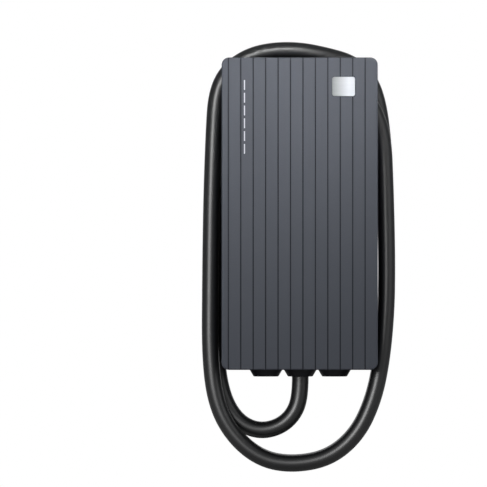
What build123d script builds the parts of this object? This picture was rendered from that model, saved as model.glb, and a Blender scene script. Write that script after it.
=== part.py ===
"""Wall box for charging an electric car, with its charging cable wound round the housing.

Frame: X to the right, the wall is the plane y = 0, the front faces -Y, Z up.
The origin is the centre of the four wall bolts. Depths are given as distances out from the wall.
All lengths are millimetres.
"""
import math
import os

from build123d import *

# Charging cable and the rows of its winding
cable_radius = 10.25
cable_clearance = 0.2
cable_turns = 3
back_row = 22.0
row_play = 0.5
row_pitch = 2 * cable_radius + row_play
front_row = back_row + cable_turns * row_pitch

# Front cover
cover_width = 190.6
cover_height = 381.5
cover_depth = 30.0
cover_gap = 12.5
cover_back = front_row + cover_gap
cover_face = cover_back + cover_depth
cover_wall = 2.6
cover_corner = 9.0
cover_edge = 2.0
cover_inside = cover_face - cover_wall
groove_count = 12
groove_width = 1.4
groove_depth = 1.3
left_land = 8.2
right_land = 15.42
groove_pitch = (cover_width - left_land - right_land) / (groove_count - 1)
cover_boss_radius = 5.0
cover_boss_inset = 30.0
cover_boss_above = 7.0
cover_boss_below = 23.0
pin_length = 8.0
stiffener_thickness = 1.6
stiffener_height = 5.0
stiffener_gap = 30.0

# Light bar
light_count = 6
light_pitch = 15.6
light_width = 1.3
light_length = 11.9
light_x = 27.9 - cover_width / 2
light_top = cover_height / 2 - 27.65
light_spine_width = 6.0
light_spine_depth = 3.0
led_board_width = 12.0
led_board_gap = 1.6
led_size = 3.0
led_height = 1.2
led_screw_length = 5.0

# Badge plate
badge_width = 28.2
badge_height = 23.7
badge_thickness = 1.4
badge_corner = 3.0
badge_x = cover_width / 2 - 41.7
badge_z = cover_height / 2 - 35.55
badge_recess = 1.0

# Housing that carries the cable winding
body_wall = 3.0
body_back = 6.0
body_half_width = 84.0
body_bottom = -168.0
rear_crown = 185.0
rear_shoulder = 146.0
rear_corner = 28.0
front_crown = 164.0
front_shoulder = 119.0
front_corner = 40.0
bottom_corner = 12.0
least_corner = 2.0
bay_corner = 18.0
bay_roof = 4.0
cover_boss_x = body_half_width - cover_boss_inset
cover_boss_top = front_shoulder + cover_boss_above
cover_boss_bottom = body_bottom + cover_boss_below

# Inner lid
lid_plate = 3.0
gasket_width = 3.0
gasket_height = 1.8
ledge_thickness = 2.5
lid_boss_radius = 5.0

# Wall bracket
bracket_width = 68.0
bracket_height = 300.0
bracket_plate = 4.0
bracket_corner = 8.0
bolt_spacing_x = 44.0
bolt_spacing_z = 260.0
bolt_hole_radius = 3.3
hook_width = 16.0
hook_height = 8.0
hook_thickness = 3.0
hook_reach = 3.5
hook_x = 20.0
hook_z = 70.0
lock_screw_rise = 14.0

# Cable glands, on the winding's second row
gland_count = 3
gland_pitch = 42.0
gland_shift = 1.0
gland_depth = front_row - row_pitch
gland_clearance = 4.0
thread_radius = 16.0
thread_step = 1.0
hex_flat = 38.0
hex_height = 7.0
nut_radius = 20.0
nut_mouth_radius = 15.0
nut_flutes = 12
nut_taper = 8.0
nut_height = 24.4
locknut_height = 5.0
locknut_flat = 36.0
supply_radius = 8.5

# Charging plug, nose down in the bay
plug_x = body_half_width - 16.5
plug_clearance = 2.5
boot_top = 104.0
boot_length = 34.0
boot_top_radius = 13.5
boot_root_radius = 17.0
boot_groove = 1.6
grip_length = 118.0
collar_radius = 26.5
collar_height = 10.0
plug_depth = collar_radius + plug_clearance
nose_length = 44.0
nose_radius = 25.0
nose_wall = 2.5
nose_flat = 20.5
pilot_count = 2
contact_ring = 15.0
power_contact_radius = 4.0
pilot_contact_radius = 2.6
contact_length = 30.0
plug_screw_seat = 13.0
plug_screw_reach = 12.0

# Plug holster and the bay round it
holster_wall = 2.4
holster_floor = 3.0
holster_flange = 3.0
holster_play = 0.5
holster_room = 38.0
bay_left = plug_x - collar_radius - 5.0
bay_depth = plug_depth + collar_radius + plug_clearance
rear_depth = bay_depth - bay_roof

# Boards and what they carry
board_thickness = 1.6
main_board_width = 96.0
main_board_height = 230.0
main_board_gap = 8.0
main_board_x = -24.0
main_board_screw = main_board_height / 2 - 5.0
control_board_width = 120.0
control_board_height = 150.0
control_board_gap = 12.0
control_board_z = 20.0
coil_board_width = 56.0
coil_board_height = 40.0
coil_board_z = 92.0
post_radius = 4.0
coil_post_height = 3.0
coil_turns = 3
board_row_gap = 14.0
board_middle_z = 20.0
relay_width = 29.0
relay_height = 24.0
relay_depth = 26.0
relay_pitch = 34.0
terminal_poles = 5
pole_pitch = 11.0
terminal_height = 20.0
terminal_depth = 22.0
sensor_radius = 17.0
sensor_bore = 9.0
sensor_height = 14.0
supply_width = 34.0
supply_height = 30.0
supply_stack = 24.0
supply_window_x = 8.5
supply_window_width = 7.0
supply_window_height = 18.0
supply_coil_wall = 6.6
supply_coil_stack = 20.0
capacitor_count = 3
capacitor_pitch = 22.0
capacitor_radius = 8.0
capacitor_height = 25.0
capacitor_z = 78.0
radio_x = 32.0
radio_rise = 46.0
radio_width = 26.0
radio_height = 18.0
radio_can = 3.0
antenna_rise = 58.0
antenna_width = 20.0
antenna_height = 6.0
antenna_thickness = 1.2
processor_size = 20.0
processor_x = -8.0
processor_rise = 6.0
memory_count = 4
memory_pitch = 14.0
memory_x = -34.0
memory_rise = -34.0
memory_width = 9.0
memory_height = 6.0
chip_thickness = 1.5
core_radius = 1.9
core_ring = 5.2
core_bend = 4.0
core_run = 10.0
wire_hole_depth = 8.0
screw_well = 6.0
well_radius = 4.0

# Fasteners
screw_radius = 1.5
screw_head_radius = 3.0
screw_head_height = 2.0
screw_length = 9.0
lock_screw_radius = 2.4
lock_head_radius = 4.5
cover_screw_x = 60.0
cover_tab_width = 12.0
cover_tab_thickness = 4.0
cover_tab_reach = 10.0
fit = 0.3

# Derived places shared by several pieces
front_depth = gland_depth + nut_radius + gland_clearance
lid_back = front_depth + gasket_height
lid_face = lid_back + lid_plate
cover_seat = cover_back + 4.0
gland_face = body_bottom
nut_top = gland_face - hex_height
gland_mouth = nut_top - nut_height
gland_places = [gland_shift + (i - (gland_count - 1) / 2) * gland_pitch for i in range(gland_count)]
light_centres = [light_top - light_length / 2 - i * light_pitch for i in range(light_count)]
light_middle = (light_centres[0] + light_centres[-1]) / 2
light_span = light_centres[0] - light_centres[-1] + light_length
groove_places = [left_land - cover_width / 2 + i * groove_pitch for i in range(groove_count)]
grip_top = boot_top - boot_length
grip_bottom = grip_top - grip_length
nose_bottom = grip_bottom - nose_length
lock_screw_z = lock_screw_rise - main_board_screw
bay_bottom = nose_bottom - holster_room
cover_floor = cover_wall - cover_height / 2
main_board_back = body_back + body_wall + main_board_gap
main_board_face = main_board_back + board_thickness
control_board_face = lid_back - control_board_gap
control_board_back = control_board_face - board_thickness
cover_bosses = [(x, z) for x in (-cover_boss_x, cover_boss_x) for z in (cover_boss_top, cover_boss_bottom)]

# One turn of the winding seen from the front, clockwise from the right-hand side (x, z)
turn_outline = [
    (102.8, 88), (104.8, 42), (106.4, -14), (107.2, -68), (106.3, -120), (101, -178), (91, -227),
    (71, -270), (37, -299), (-7, -307.5), (-46, -301), (-79, -275), (-101.5, -236), (-109.8, -178),
    (-109.2, -82), (-107.8, 18), (-105, 98), (-102.2, 145), (-90, 173), (-66.5, 191), (-38, 199.5),
    (-2, 200.5), (32, 194), (64, 185), (86, 165), (97, 134),
]
# Share of one row that the cable has moved towards the wall at each point of a turn
first_turn_steps = [0.0] * 22 + [0.12, 0.46, 0.8, 0.97]
later_turn_steps = [0.0] * 8 + [0.06, 0.45, 0.9] + [1.0] * 15

# From the middle gland: round the loop, up the left side and over the housing (x, z)
riser_outline = [
    (gland_places[1], gland_mouth), (gland_places[1], -222), (-6, -244.5), (-23, -260.5), (-46.5, -266.5),
    (-69, -259.5), (-86.5, -240.5), (-97.5, -211), (-102.5, -168), (-104, -98), (-103.5, -20), (-102, 48),
    (-99, 104), (-87.5, 140), (-63, 164), (-32, 175.5), (0, 178.5), (31, 172), (60, 161), (82, 143),
    (96, 116),
]
# Share of one row that the riser has moved out from the glands' depth at each point
riser_steps = [0.0] * 11 + [0.01, 0.05, 0.14, 0.29, 0.43, 0.57, 0.74, 0.93, 1.05, 1.05]
# From the last turn over the top and down into the plug (x, z)
tail_outline = [
    (-38, 199.5), (-4, 200.5), (25, 196.5), (49, 184), (63, 162), (plug_x, 134), (plug_x, boot_top),
]
# Share of the way from the last row to the plug's depth at each point
tail_steps = [0.0, 0.0, 0.0, 0.04, 0.36, 1.0, 1.0]


def slab(outline, near, far):
    """Extrude a flat outline of the XZ plane between two distances out from the wall."""
    return extrude(Plane.XZ.offset(near) * outline, far - near)


def rod(x, z, near, far, radius):
    """Round bar square to the wall."""
    return slab(Pos(x, z) * Circle(radius), near, far)


def block(x, z, width, height, near, far):
    """Rectangular block square to the wall."""
    return slab(Pos(x, z) * Rectangle(width, height), near, far)


def post(x, out, low, high, radius):
    """Round bar that stands along Z."""
    return Pos(x, -out, low) * extrude(Circle(radius), high - low)


def cross_rod(x, out, z, length, radius):
    """Round bar that runs along X from one place."""
    return Pos(x, -out, z) * Rot(0, 90, 0) * extrude(Circle(radius), length)


def hexagon_post(x, out, low, high, flat):
    """Hexagonal bar along Z with two flats facing the neighbours."""
    hexagon = RegularPolygon(flat / 2, 6, major_radius=False, rotation=30)
    return Pos(x, -out, low) * extrude(hexagon, high - low)


def turned(x, out, profile):
    """Turned piece about a vertical axis from (radius, z) points."""
    wire = Polyline(*[(radius, z) for radius, z in profile], close=True)
    solid = revolve(Plane.XZ * make_face(wire.edges()), Axis.Z)
    return Pos(x, -out, 0) * solid


def screw(x, z, head_at, direction, length=screw_length, radius=screw_radius, head=screw_head_radius):
    """Pan-head screw square to the wall: direction is 1 when its tip points out from the wall."""
    shank_end = head_at + direction * length
    head_end = head_at - direction * screw_head_height
    shank = rod(x, z, min(head_at, shank_end), max(head_at, shank_end), radius)
    cap = rod(x, z, min(head_at, head_end), max(head_at, head_end), head)
    slot_bottom = head_end + direction * screw_head_height / 2
    slot = block(x, z, head * 1.2, head / 4, min(slot_bottom, head_end), max(slot_bottom, head_end))
    cross = block(x, z, head / 4, head * 1.2, min(slot_bottom, head_end), max(slot_bottom, head_end))
    return shank + cap - slot - cross


def crowned_outline(half_width, bottom, shoulder, crown, corner, inset=0.0):
    """Upright housing outline with an arched top, moved in by an inset."""
    side = half_width - inset
    low = bottom + inset
    high = shoulder - inset
    sides = Polyline((side, high), (side, low), (-side, low), (-side, high))
    arch = ThreePointArc((-side, high), (0, crown - inset), (side, high))
    face = make_face((sides + arch).edges())
    rows = face.vertices().group_by(Axis.Y)
    face = fillet(rows[-1], max(corner - inset, least_corner))
    return fillet(face.vertices().group_by(Axis.Y)[0], max(bottom_corner - inset, least_corner))


def rear_outline(inset=0.0):
    """Outline of the deep rear box, without the bay for the parked plug."""
    whole = crowned_outline(body_half_width, body_bottom, rear_shoulder, rear_crown, rear_corner, inset)
    bay_height = rear_crown - bay_bottom + inset
    bay_width = body_half_width - bay_left + inset
    centre_x = bay_left - inset + bay_width
    centre_z = bay_bottom - inset + bay_height
    bay = Pos(centre_x, centre_z) * RectangleRounded(2 * bay_width, 2 * bay_height, bay_corner + inset)
    return whole - bay


def front_outline(inset=0.0):
    """Outline of the front box and of the inner lid."""
    return crowned_outline(body_half_width, body_bottom, front_shoulder, front_crown, front_corner, inset)


def lid_screw_places():
    """Eight screw places inside the lid's edge."""
    edge_x = body_half_width - body_wall - lid_boss_radius
    low = body_bottom + body_wall + lid_boss_radius + 2
    rows = [low, low + 0.36 * (front_shoulder - low), low + 0.7 * (front_shoulder - low)]
    places = [(side * edge_x, z) for side in (-1, 1) for z in rows]
    high = front_crown - body_wall - lid_boss_radius - 6
    return places + [(side * 0.45 * edge_x, high) for side in (-1, 1)]


def make_front_cover():
    """Ribbed cover: a shallow tray with grooves, light slots, a badge recess, bosses and stiffeners."""
    outer = slab(RectangleRounded(cover_width, cover_height, cover_corner), cover_back, cover_face)
    front_edges = outer.faces().sort_by(Axis.Y)[0].edges()
    outer = fillet(front_edges, cover_edge)
    inside = RectangleRounded(
        cover_width - 2 * cover_wall, cover_height - 2 * cover_wall, cover_corner - cover_wall)
    cover = outer - slab(inside, cover_back - 1, cover_inside)
    for x in groove_places:
        cover -= block(x, 0, groove_width, cover_height + 2, cover_face - groove_depth, cover_face + 1)
    for z in light_centres:
        cover -= block(light_x, z, light_width, light_length, cover_inside - 1, cover_face + 1)
    badge_outline = Pos(badge_x, badge_z) * RectangleRounded(
        badge_width + 2 * fit, badge_height + 2 * fit, badge_corner + fit)
    cover -= slab(badge_outline, cover_face - badge_recess, cover_face + 1)
    cover += stiffeners()
    for x, z in cover_bosses:
        cover += rod(x, z, cover_seat, cover_inside, cover_boss_radius)
        cover -= rod(x, z, cover_seat - 1, cover_inside - 2, screw_radius + 1)
    for z in led_fixings():
        cover += rod(light_x, z, led_board_face(), cover_inside, post_radius)
        cover -= rod(light_x, z, led_board_face() - 1, cover_inside - 1, screw_radius + fit / 2)
    for x in (-cover_screw_x, cover_screw_x):
        cover -= cover_screw_cone(x, fit)
    return cover


def cover_tab_middle():
    """Distance from the wall to the cover's screws."""
    return cover_back + cover_tab_reach / 2


def cover_screw_cone(x, play):
    """Countersunk head and shank of one cover screw, made larger by a play."""
    low = cover_floor - cover_wall
    sink = Solid.make_cone(screw_head_radius + play, screw_radius + play, cover_wall - 1.0)
    shank = post(x, cover_tab_middle(), low, low + screw_length, screw_radius + play)
    return Pos(x, -cover_tab_middle(), low) * sink + shank


def make_cover_screws():
    """Two countersunk screws through the cover's floor into the lid's tabs."""
    screws = []
    for x in (-cover_screw_x, cover_screw_x):
        low = cover_floor - cover_wall
        slot = Pos(x, -cover_tab_middle(), low) * Box(screw_head_radius * 1.3, 0.8, 1.6)
        screws.append(cover_screw_cone(x, 0.0) - slot)
    return screws


def stiffeners():
    """Crossed ribs behind the lower part of the cover's face."""
    reach = cover_width - 2 * cover_wall
    near = cover_inside - stiffener_height
    lower = light_centres[-1] - light_length - stiffener_gap
    ribs = block(0, lower, reach, stiffener_thickness, near, cover_inside)
    ribs += block(0, (lower + cover_boss_bottom) / 2, reach, stiffener_thickness, near, cover_inside)
    ribs += block(0, cover_boss_bottom, reach, stiffener_thickness, near, cover_inside)
    height = lower - cover_boss_bottom
    for x in (-cover_boss_x / 2, cover_boss_x / 2):
        ribs += block(x, cover_boss_bottom + height / 2, stiffener_thickness, height, near, cover_inside)
    return ribs


def led_board_face():
    """Distance from the wall to the light board's front face."""
    return cover_inside - light_spine_depth - led_board_gap


def led_fixings():
    """Heights of the two screws of the light board, above and below the row of lights."""
    reach = light_span / 2 + post_radius + 3
    return [light_middle + reach, light_middle - reach]


def make_badge_plate():
    """Bare silver plate with rounded corners and a bevelled edge."""
    outline = Pos(badge_x, badge_z) * RectangleRounded(badge_width, badge_height, badge_corner)
    near = cover_face - badge_recess
    plate = slab(outline, near, near + badge_thickness)
    return chamfer(plate.faces().sort_by(Axis.Y)[0].edges(), 0.5)


def make_light_guide():
    """Clear moulding: one spine behind the cover with a blade through each slot."""
    spine = block(
        light_x, light_middle, light_spine_width, light_span, cover_inside - light_spine_depth, cover_inside)
    for z in light_centres:
        blade_width = light_width - fit / 2
        blade_length = light_length - fit / 2
        spine += block(light_x, z, blade_width, blade_length, cover_inside, cover_face - 0.2)
    return spine


def make_led_board():
    """Narrow board behind the light guide."""
    face = led_board_face()
    high, low = led_fixings()
    board = block(
        light_x, light_middle, led_board_width, high - low + 2 * post_radius, face - board_thickness, face)
    for z in (high, low):
        board -= rod(light_x, z, face - board_thickness - 1, face + 1, screw_radius + fit)
    return board


def make_leds():
    """One small lamp on the board behind each blade."""
    face = led_board_face()
    return [block(light_x, z, led_size, led_size, face, face + led_height) for z in light_centres]


def make_led_screws():
    """Two screws that hold the light board to the cover."""
    back = led_board_face() - board_thickness
    return [screw(light_x, z, back, 1, length=led_screw_length) for z in led_fixings()]


def make_body_shell():
    """Moulded housing: deep rear box, wider front box, bosses, bracket slots and gland holes."""
    shell = slab(rear_outline(), body_back, rear_depth)
    shell += slab(front_outline(), rear_depth - body_wall, front_depth)
    bay_filler = slab(front_outline(), rear_depth - body_wall, bay_depth)
    shell -= bay_filler - slab(rear_outline(), 0, bay_depth)
    rear_room = rear_outline(body_wall)
    front_room = front_outline(body_wall)
    shell -= slab(rear_room, body_back + body_wall, rear_depth - body_wall)
    shell -= slab(rear_room & front_room, rear_depth - body_wall - 1, bay_depth + body_wall + 1)
    shell -= slab(front_room, bay_depth + body_wall, front_depth + 1)
    shell += gasket_ledge()
    for x, z in lid_screw_places():
        shell += rod(x, z, front_depth - screw_length - 4, front_depth, lid_boss_radius)
        shell -= rod(x, z, front_depth - screw_length, front_depth + 1, screw_radius + fit / 2)
    for x, z in main_board_fixings():
        shell += rod(x, z, body_back + body_wall, main_board_back, post_radius)
        shell -= rod(x, z, body_back + 1, main_board_back + 1, screw_radius + fit / 2)
    for x in (-hook_x, hook_x):
        shell -= block(x, hook_z, hook_width + 2, hook_height + 2, body_back - 1, body_back + body_wall + 1)
        shell -= rod(x, lock_screw_z, body_back - 1, body_back + body_wall + 1, lock_screw_radius + fit)
    for x in gland_places:
        shell -= post(x, gland_depth, body_bottom - 1, body_bottom + body_wall + 1, thread_radius + fit)
    for z in holster_fixings():
        shell -= cross_rod(bay_left - body_wall - 1, plug_depth, z, body_wall + 2, screw_radius + fit / 2)
    return shell


def main_board_fixings():
    """Four corners of the main board."""
    reach_x = main_board_width / 2 - post_radius - 1
    return [(main_board_x + sx * reach_x, sz * main_board_screw) for sx in (-1, 1) for sz in (-1, 1)]


def make_lid_gasket():
    """Soft seal ring between the housing's edge and the inner lid."""
    ring = front_outline(body_wall + 2 * lid_boss_radius + 1) - front_outline(
        body_wall + 2 * lid_boss_radius + 1 + gasket_width)
    return slab(ring, front_depth, lid_back)


def gasket_ledge():
    """Flange inside the housing's edge that the gasket sits on."""
    wide = body_wall + 2 * lid_boss_radius
    ring = front_outline(body_wall) - front_outline(wide + 2 + gasket_width)
    return slab(ring, front_depth - ledge_thickness, front_depth)


def make_inner_lid():
    """Lid of the electronics: plate with an edge flange, cover pins, board posts and screw holes."""
    lid = slab(front_outline(), lid_back, lid_face)
    rim = front_outline() - front_outline(body_wall)
    lid += slab(rim, front_depth, lid_back)
    for x, z in cover_bosses:
        lid += rod(x, z, lid_face, cover_seat, cover_boss_radius)
        lid += rod(x, z, cover_seat, cover_seat + pin_length, screw_radius + 1 - fit)
    for x, z in control_fixings():
        lid += rod(x, z, control_board_face, lid_back, post_radius)
        lid -= rod(x, z, control_board_face - 1, lid_back, screw_radius + fit / 2)
    for x, z in coil_fixings():
        lid += rod(x, z, lid_face, lid_face + coil_post_height, post_radius)
        lid -= rod(x, z, lid_back + 1, lid_face + coil_post_height + 1, screw_radius + fit / 2)
    for x, z in lid_screw_places():
        lid -= rod(x, z, front_depth - 1, lid_face + 1, screw_radius + fit)
    for x in (-cover_screw_x, cover_screw_x):
        lid += cover_tab(x)
    return lid


def cover_tab(x):
    """Angled tab of the lid that takes one of the cover's screws."""
    low = cover_floor + fit
    arm_height = body_bottom + bottom_corner - low
    tab = block(x, low + arm_height / 2, cover_tab_width, arm_height, lid_back, lid_face)
    shelf_z = low + cover_tab_thickness / 2
    tab += block(x, shelf_z, cover_tab_width, cover_tab_thickness, lid_back, cover_back + cover_tab_reach)
    hole = post(x, cover_tab_middle(), low - 1, low + cover_tab_thickness + 1, screw_radius + fit / 2)
    return tab - hole


def make_lid_screws():
    """Eight screws of the inner lid."""
    length = screw_length + lid_face - front_depth - 1
    return [screw(x, z, lid_face, -1, length=length) for x, z in lid_screw_places()]


def control_fixings():
    """Four corners of the control board."""
    reach_x = control_board_width / 2 - post_radius - 1
    reach_z = control_board_height / 2 - post_radius - 1
    return [(sx * reach_x, control_board_z + sz * reach_z) for sx in (-1, 1) for sz in (-1, 1)]


def coil_fixings():
    """Two ends of the card reader's board."""
    reach = coil_board_width / 2 - post_radius - 1
    return [(-reach, coil_board_z), (reach, coil_board_z)]


def board(x, z, width, height, near, fixings):
    """Circuit board with rounded corners and screw holes."""
    plate = slab(Pos(x, z) * RectangleRounded(width, height, 3), near, near + board_thickness)
    for hole_x, hole_z in fixings:
        plate -= rod(hole_x, hole_z, near - 1, near + board_thickness + 1, screw_radius + fit)
    return plate


def make_coil_winding():
    """Flat copper winding of the card reader."""
    near = lid_face + coil_post_height + board_thickness
    room = coil_board_height / 2 - 4
    turns = []
    for i in range(coil_turns):
        ring = Circle(room - 3 * i) - Circle(room - 3 * i - 1.5)
        turns.append(slab(Pos(0, coil_board_z) * ring, near, near + 0.5))
    return turns


def make_wall_bracket():
    """Pressed plate with four bolt holes, two hooks for the housing and two tapped holes."""
    plate = slab(RectangleRounded(bracket_width, bracket_height, bracket_corner), 0, bracket_plate)
    for x in (-bolt_spacing_x / 2, bolt_spacing_x / 2):
        for z in (-bolt_spacing_z / 2, bolt_spacing_z / 2):
            plate -= rod(x, z, -1, bracket_plate + 1, bolt_hole_radius)
    hook_tip = body_back + body_wall + fit
    for x in (-hook_x, hook_x):
        arm_height = hook_height - hook_reach
        arm_z = hook_z - hook_reach / 2
        plate += block(x, arm_z, hook_width, arm_height, bracket_plate, hook_tip + hook_thickness)
        plate += block(x, hook_z, hook_width, hook_height, hook_tip, hook_tip + hook_thickness)
        plate += rod(x, lock_screw_z, bracket_plate, body_back - fit, lock_head_radius)
        plate -= rod(x, lock_screw_z, -1, body_back + 1, lock_screw_radius + fit / 2)
    for z in (-bracket_height / 4, bracket_height / 4):
        plate -= slab(Pos(0, z) * SlotOverall(bracket_width / 2, 14), -1, bracket_plate + 1)
    return plate


def make_lock_screws():
    """Two screws that lock the housing to the bracket from inside."""
    head_at = body_back + body_wall
    return [screw(x, lock_screw_z, head_at, -1, head_at - 1, lock_screw_radius, lock_head_radius)
            for x in (-hook_x, hook_x)]


def make_gland_body(x):
    """Threaded gland body: hexagon under the housing and a threaded neck through its floor."""
    bore = cable_radius + cable_clearance + 0.6
    neck_top = body_bottom + body_wall + locknut_height + 2
    body = hexagon_post(x, gland_depth, nut_top, gland_face, hex_flat)
    body += post(x, gland_depth, gland_face, neck_top, thread_radius)
    body += post(x, gland_depth, nut_top - 9, nut_top, thread_radius - thread_step)
    return body - post(x, gland_depth, nut_top - 10, neck_top + 1, bore)


def make_gland_locknut(x):
    """Hexagonal locknut inside the housing."""
    low = body_bottom + body_wall
    nut = hexagon_post(x, gland_depth, low, low + locknut_height, locknut_flat)
    return nut - post(x, gland_depth, low - 1, low + locknut_height + 1, thread_radius + fit / 2)


def make_gland_nut(x):
    """Dome nut: ribbed grip that tapers to a flat mouth."""
    mouth_bore = cable_radius + cable_clearance
    taper_top = gland_mouth + nut_taper
    profile = [
        (thread_radius - thread_step + fit / 2, nut_top), (nut_radius, nut_top), (nut_radius, taper_top),
        (nut_mouth_radius, gland_mouth), (mouth_bore, gland_mouth), (mouth_bore, gland_mouth + 2),
        (thread_radius - thread_step + fit / 2, gland_mouth + 4),
    ]
    nut = turned(x, gland_depth, profile)
    for i in range(nut_flutes):
        angle = math.radians(i * 360 / nut_flutes)
        reach = nut_radius + 1.1
        flute_x = x + reach * math.cos(angle)
        nut -= post(flute_x, gland_depth + reach * math.sin(angle), taper_top + 1, nut_top + 1, 2.0)
    return nut


def make_gland_seal(x, bore):
    """Rubber seal ring between the gland body and the dome nut."""
    low = gland_mouth + 4 + fit
    high = nut_top - 9 - fit
    outer = thread_radius - thread_step - fit
    return post(x, gland_depth, low, high, outer) - post(x, gland_depth, low - 1, high + 1, bore)


def make_blanking_plug(x):
    """Stepped plug that closes the unused gland."""
    top = nut_top - 2
    plug = post(x, gland_depth, gland_mouth + 0.5, top, cable_radius)
    return chamfer(plug.edges().sort_by(Axis.Z)[-1], 1.0)


def run_lengths(points):
    """Lengths of the straight runs between the route's points."""
    return [(Vector(*b) - Vector(*a)).length for a, b in zip(points[:-1], points[1:])]


def corner_radii(points):
    """Largest arc that the two runs at each corner leave room for."""
    runs = run_lengths(points)
    radii = []
    for i in range(1, len(points) - 1):
        before = Vector(*points[i]) - Vector(*points[i - 1])
        after = Vector(*points[i + 1]) - Vector(*points[i])
        turn = math.radians(before.get_angle(after))
        radii.append(0.45 * min(runs[i - 1], runs[i]) / math.tan(turn / 2))
    return radii


def cable_route():
    """All points of the charging cable, from the gland's mouth to the plug's boot."""
    points = [(x, gland_depth + row_pitch * step, z) for (x, z), step in zip(riser_outline, riser_steps)]
    joints = [len(points)]
    for turn in range(cable_turns):
        steps = later_turn_steps if turn else first_turn_steps
        for (x, z), step in zip(turn_outline, steps):
            points.append((x, front_row - row_pitch * (turn + step), z))
        joints.append(len(points))
    last_kept = joints[-1] - 6
    points = points[:last_kept]
    for (x, z), step in zip(tail_outline, tail_steps):
        points.append((x, back_row + (plug_depth - back_row) * step, z))
    joints[-1] = last_kept
    return [(x, -out, z) for x, out, z in points], joints


def middle(a, b):
    """Point half way between two points."""
    return tuple((p + q) / 2 for p, q in zip(a, b))


def cable_tube(points, radii):
    """Round tube along straight runs joined by tangent arcs."""
    path = FilletPolyline(*points, radius=radii)
    start = Vector(*points[0])
    heading = Vector(*points[1]) - start
    section = Plane(origin=start, z_dir=heading) * Circle(cable_radius)
    tube = sweep(section, path=path)
    ratio = tube.volume / (math.pi * cable_radius ** 2 * path.length)
    print(f"tube {len(points)} points, length {path.length:.1f}, volume / (section x length) {ratio:.5f},",
          f"radii {[round(radius) for radius in radii]}")
    return tube, path.length


def make_cable():
    """The cable as one tube per stretch: riser, the turns of the winding and the tail."""
    points, joints = cable_route()
    radii = corner_radii(points)
    cuts = [0] + joints + [len(points)]
    names = ["cable_riser"] + [f"cable_turn_{i + 1}" for i in range(cable_turns)] + ["cable_tail"]
    tubes = {}
    total = 0.0
    for name, first, last in zip(names, cuts[:-1], cuts[1:]):
        own = points[first:last]
        if first:
            own = [middle(points[first - 1], points[first])] + own
        if last < len(points):
            own = own + [middle(points[last - 1], points[last])]
        own_radii = radii[max(first - 1, 0):min(last - 1, len(radii))]
        tubes[name], length = cable_tube(own, own_radii)
        total += length
    print(f"cable length {total:.0f}")
    return tubes


def make_cable_root():
    """Straight end of the cable inside the middle gland."""
    x = gland_places[1]
    return post(x, gland_depth, gland_mouth, nut_top + 2, cable_radius)


def make_output_cores():
    """Five cores from the cable's end to the output terminals."""
    start_z = nut_top + 2
    end_z = output_terminal_z() - terminal_height / 2
    clear_z = body_bottom + body_wall + locknut_height + 6
    end_out = main_board_face + terminal_depth / 2
    angles = [math.radians(90 + i * 360 / terminal_poles) for i in range(terminal_poles)]
    cores = []
    for i, angle in enumerate(sorted(angles, key=math.cos)):
        x = gland_places[1] + core_ring * math.cos(angle)
        out = gland_depth + core_ring * math.sin(angle)
        end_x = pole_x(i)
        points = [
            (x, -out, start_z), (x, -out, clear_z), (end_x, -end_out, end_z - core_run),
            (end_x, -end_out, end_z + wire_hole_depth - 1)]
        path = FilletPolyline(*points, radius=[core_bend, core_bend])
        cores.append(sweep(Plane(origin=points[0], z_dir=(0, 0, 1)) * Circle(core_radius), path=path))
    return cores


def pole_x(i):
    """Centre of one pole of the terminal blocks."""
    return main_board_x + (i - (terminal_poles - 1) / 2) * pole_pitch


def output_terminal_z():
    """Height of the output terminals, at the board's foot."""
    return -main_board_height / 2 + terminal_height / 2 + 2


def input_terminal_z():
    """Height of the supply terminals, above the output ones."""
    return output_terminal_z() + terminal_height + board_row_gap


def make_terminal_block(z):
    """Terminal block with a wire funnel and a screw well for each pole."""
    width = terminal_poles * pole_pitch + 4
    face = main_board_face + terminal_depth
    body = block(main_board_x, z, width, terminal_height, main_board_face, face)
    body = chamfer(body.faces().sort_by(Axis.Y)[0].edges().filter_by(Axis.X), 2)
    for i in range(terminal_poles):
        foot = z - terminal_height / 2
        body -= rod(pole_x(i), z, face - screw_well, face + 1, well_radius)
        body -= post(pole_x(i), main_board_face + terminal_depth / 2, foot - 1, foot + wire_hole_depth,
                     core_radius + fit)
    return body


def make_terminal_screws():
    """Clamping screws of both terminal blocks."""
    face = main_board_face + terminal_depth
    screws = []
    for z in (output_terminal_z(), input_terminal_z()):
        for i in range(terminal_poles):
            head = rod(pole_x(i), z, face - screw_well, face - screw_well / 2, well_radius - fit)
            screws.append(head - block(pole_x(i), z, pole_pitch, 0.8, face - screw_well + 2, face))
    return screws


def make_relay(index):
    """Sealed power relay."""
    x = main_board_x + (index - 0.5) * relay_pitch
    z = input_terminal_z() + terminal_height / 2 + relay_height / 2 + board_row_gap
    body = block(x, z, relay_width, relay_height, main_board_face, main_board_face + relay_depth)
    return fillet(body.faces().sort_by(Axis.Y)[0].edges(), 1.2)


def make_current_sensor():
    """Ring-shaped current sensor standing on the main board."""
    x = main_board_x - relay_pitch / 2
    z = board_middle_z
    ring = rod(x, z, main_board_face, main_board_face + sensor_height, sensor_radius)
    ring = fillet(ring.faces().sort_by(Axis.Y)[0].edges(), 1.5)
    return ring - rod(x, z, main_board_face - 1, main_board_face + sensor_height + 1, sensor_bore)


def make_transformer_core():
    """Laminated core of the small power supply."""
    x, z = transformer_place()
    face = main_board_face + supply_stack
    core = block(x, z, supply_width, supply_height, main_board_face, face)
    for side in (-1, 1):
        core -= block(x + side * supply_window_x, z, supply_window_width, supply_window_height,
                      main_board_face - 1, face + 1)
    return core


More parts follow.
